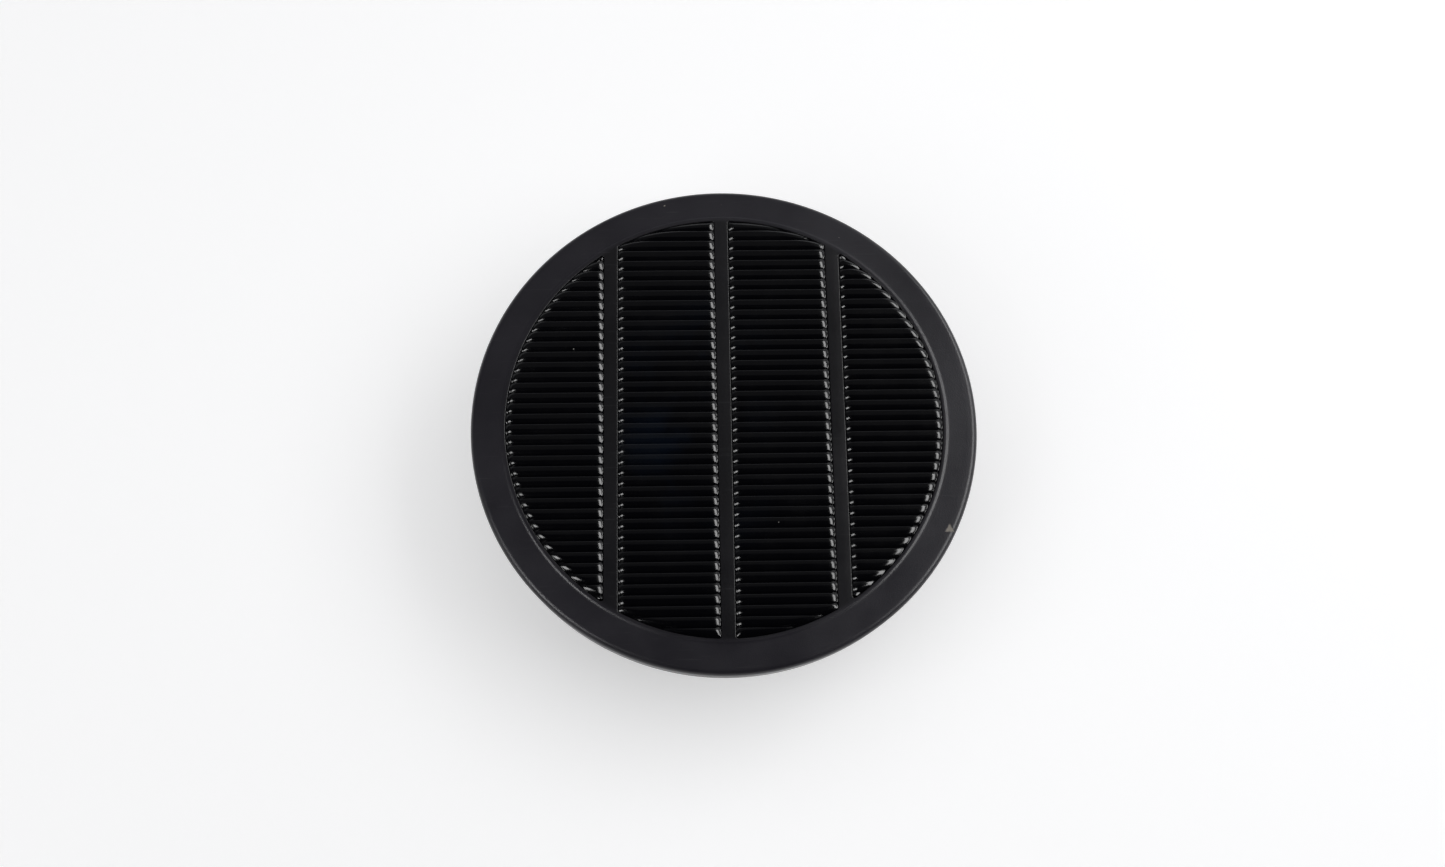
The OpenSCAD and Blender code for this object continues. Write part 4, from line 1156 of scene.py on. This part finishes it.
def finish_nodes():
    """Rounded-edge pieces for the moulded, pressed and turned nodes."""
    # node, piece, finish, edge in millimetres
    rounded = (
        ("window_seal", "seal_ring", "seal_rubber", 0.2),
        ("cells_inner", "cell_rows_inner", "solar_cell", 0.04),
        ("cells_outer", "cell_rows_outer", "solar_cell", 0.04),
        ("cell_board", "panel_board", "panel_board", 0.15),
        ("bus_ribbons", "bus_ribbon_strips", "tinned_copper", 0.05),
        ("panel_junction", "junction_block", "junction_plastic", 0.5),
        ("cap_tray", "tray_moulding", "tray_plastic", 0.35),
        ("threaded_inserts", "brass_inserts", "brass", 0.2),
        ("switch_body", "switch_housing", "switch_plastic", 0.3),
        ("switch_terminals", "switch_tabs", "brass", 0.1),
        ("switch_rocker", "rocker_key", "rocker_plastic", 0.3),
        ("thermostat_cup", "thermostat_can", "aluminium", 0.35),
        ("thermostat_body", "thermostat_base", "phenolic", 0.3),
        ("thermostat_terminals", "thermostat_tabs", "brass", 0.1),
        ("lead_grommet", "grommet_ring", "seal_rubber", 0.35),
        ("post_spacers", "spacer_tubes", "aluminium", 0.3),
        ("insect_screen", "screen_band", "screen_metal", 0.15),
        ("fan_ring", "fan_ring_moulding", "base_plastic", 0.35),
        ("base_flange", "roof_flange", "base_plastic", 0.4),
        ("flange_gasket", "foam_gasket", "gasket_foam", 0.4),
        ("motor_bracket", "pressed_bracket", "bracket_steel", 0.3),
        ("bearing_tube", "brass_bearing_tube", "brass", 0.25),
        ("ball_bearings", "bearing_races", "bright_steel", 0.15),
        ("driver_board", "driver_board_round", "driver_board", 0.08),
        ("driver_parts", "driver_chips", "junction_plastic", 0.12),
        ("stator_core", "lamination_stack", "lamination_steel", 0.1),
        ("stator_coils", "wound_coils", "copper_wire", 0.6),
        ("motor_shaft", "steel_shaft", "bright_steel", 0.15),
        ("rotor_yoke", "yoke_cup", "bracket_steel", 0.3),
        ("magnet_ring", "ferrite_ring", "magnet", 0.2),
        ("impeller", "fan_impeller", "fan_plastic", 0.4),
        ("thrust_washer", "nylon_washer", "nylon", 0.15),
        ("shaft_clip", "spring_clip", "spring_steel", 0.08),
        ("finger_guard", "guard_grille", "tray_plastic", 0.45),
    )
    shared_slots = {"panel_board": "circuit_board", "driver_board": "circuit_board",
                    "gasket_foam": "seal_rubber"}
    for node, name, finish, edge in rounded:
        broken_edges(node, name, finish, edge * MM, shared_slots.get(finish))


# ---------------------------------------------------------------- studio
def floor():
    """A plain white table, open to a camera that looks up from under it."""
    bm = bmesh.new()
    bmesh.ops.create_grid(bm, x_segments=2, y_segments=2, size=4.0)
    mesh = bpy.data.meshes.new("table_top")
    bm.to_mesh(mesh)
    bm.free()
    table = linked("table_top", mesh)
    table.location.z = SPIGOT_LOW - 0.05 * MM
    finish = Finish("white_table", 0.75)
    finish.colour((0.75, 0.75, 0.76))
    finish.set(Emission_Color=(1.0, 1.0, 1.0, 1.0), Emission_Strength=0.42, Specular_IOR_Level=0.2)
    tree = finish.tree
    clear = add(tree, "ShaderNodeBsdfTransparent")
    side = add(tree, "ShaderNodeNewGeometry")
    either = add(tree, "ShaderNodeMixShader", {0: side.outputs["Backfacing"], 1: finish.shader, 2: clear})
    feed(tree, either, tree.nodes["Material Output"].inputs["Surface"])
    mesh.materials.append(finish.material)


def area_lamp(name, width, height, power):
    """A rectangular lamp, not yet placed."""
    lamp = bpy.data.lights.new(name, "AREA")
    lamp.shape = "RECTANGLE"
    lamp.size = width
    lamp.size_y = height
    lamp.energy = power
    return linked(name, lamp)


def softbox(name, role, azimuth, elevation, distance, *size_and_power):
    """A lamp aimed at the cap: gloss lamps show in highlights, soft ones light matte surfaces."""
    holder = area_lamp(name, *size_and_power)
    holder.visible_glossy = role == "gloss"
    holder.visible_diffuse = role == "soft"
    turn = math.radians(azimuth)
    rise = math.radians(elevation)
    back = Vector((math.cos(turn) * math.cos(rise), math.sin(turn) * math.cos(rise), math.sin(rise)))
    holder.location = back * distance + Vector((0, 0, RIM_TOP))
    holder.rotation_euler = (-back).to_track_quat("-Z", "Y").to_euler()


def lamps():
    # name, role, azimuth and elevation in degrees, distance, width, height, power
    boxes = (
        ("left_softbox", "gloss", 208, 38, 1.5, 0.56, 0.56, 8.4),
        ("right_softbox", "gloss", 10, 38, 1.5, 1.9, 0.55, 25.0),
        ("left_fill", "soft", 208, 38, 1.5, 0.9, 0.9, 5.5),
        ("right_fill", "soft", 10, 45, 1.6, 1.9, 0.9, 11.0),
        ("ceiling_bounce", "soft", 100, 80, 2.0, 3.2, 3.2, 25.0),
    )
    for box in boxes:
        softbox(*box)
    card = area_lamp("reflector_card", 1.6, 1.2, 0.5)
    card.location = (0.0, 0.7, RIM_TOP + 0.5)
    card.visible_camera = False


def studio_world():
    """Dim room: grey above, a little lighter low down on the far side, dark on the near side."""
    world = bpy.data.worlds.new("studio_room")
    bpy.context.scene.world = world
    world.use_nodes = True
    tree = world.node_tree
    x, y, z = split_xyz(tree, add(tree, "ShaderNodeTexCoord").outputs["Generated"])
    low = step_up(z, 0.48, 0.05)
    far = step_up(y, 0.16, 0.44)
    right = step_up(x, -0.4, 0.5)
    glow = far * low * (right * 0.5 + 0.4) + 0.012
    seen = Field(tree, add(tree, "ShaderNodeLightPath").outputs["Is Camera Ray"])
    backdrop = 0.8
    glow = glow + seen * (-glow + backdrop)
    colour = join_xyz(tree, glow * 0.97, glow * 0.985, glow * 1.03)
    feed(tree, colour, tree.nodes["Background"].inputs["Color"])


def camera():
    """Nearly overhead, from the front and slightly to the left."""
    lens = bpy.data.cameras.new("camera")
    lens.sensor_width = 36.0
    lens.lens = 42.5
    lens.clip_start = 0.01
    lens.clip_end = 50.0
    holder = linked("camera", lens)
    place = Vector((-0.0220, -0.2387, 0.7909))
    target = Vector((-0.0010, -0.0044, 0.0460))
    roll = math.radians(4.27)
    aim = (target - place).to_track_quat("-Z", "Y").to_matrix() @ Matrix.Rotation(roll, 3, "Z")
    holder.matrix_world = Matrix.Translation(place) @ aim.to_4x4()
    bpy.context.scene.camera = holder


camera()
floor()
studio_world()
lamps()
bpy.context.scene.view_settings.view_transform = "Standard"

cap_shell()
ribbed_window()
finish_nodes()
screw_rings()
wire_screen()
leads("panel_leads", "panel_lead_pair", ["lead_red"], "lead_red")
leads("motor_leads", "motor_lead_pair", ["lead_red", "lead_black"], "lead_pair")
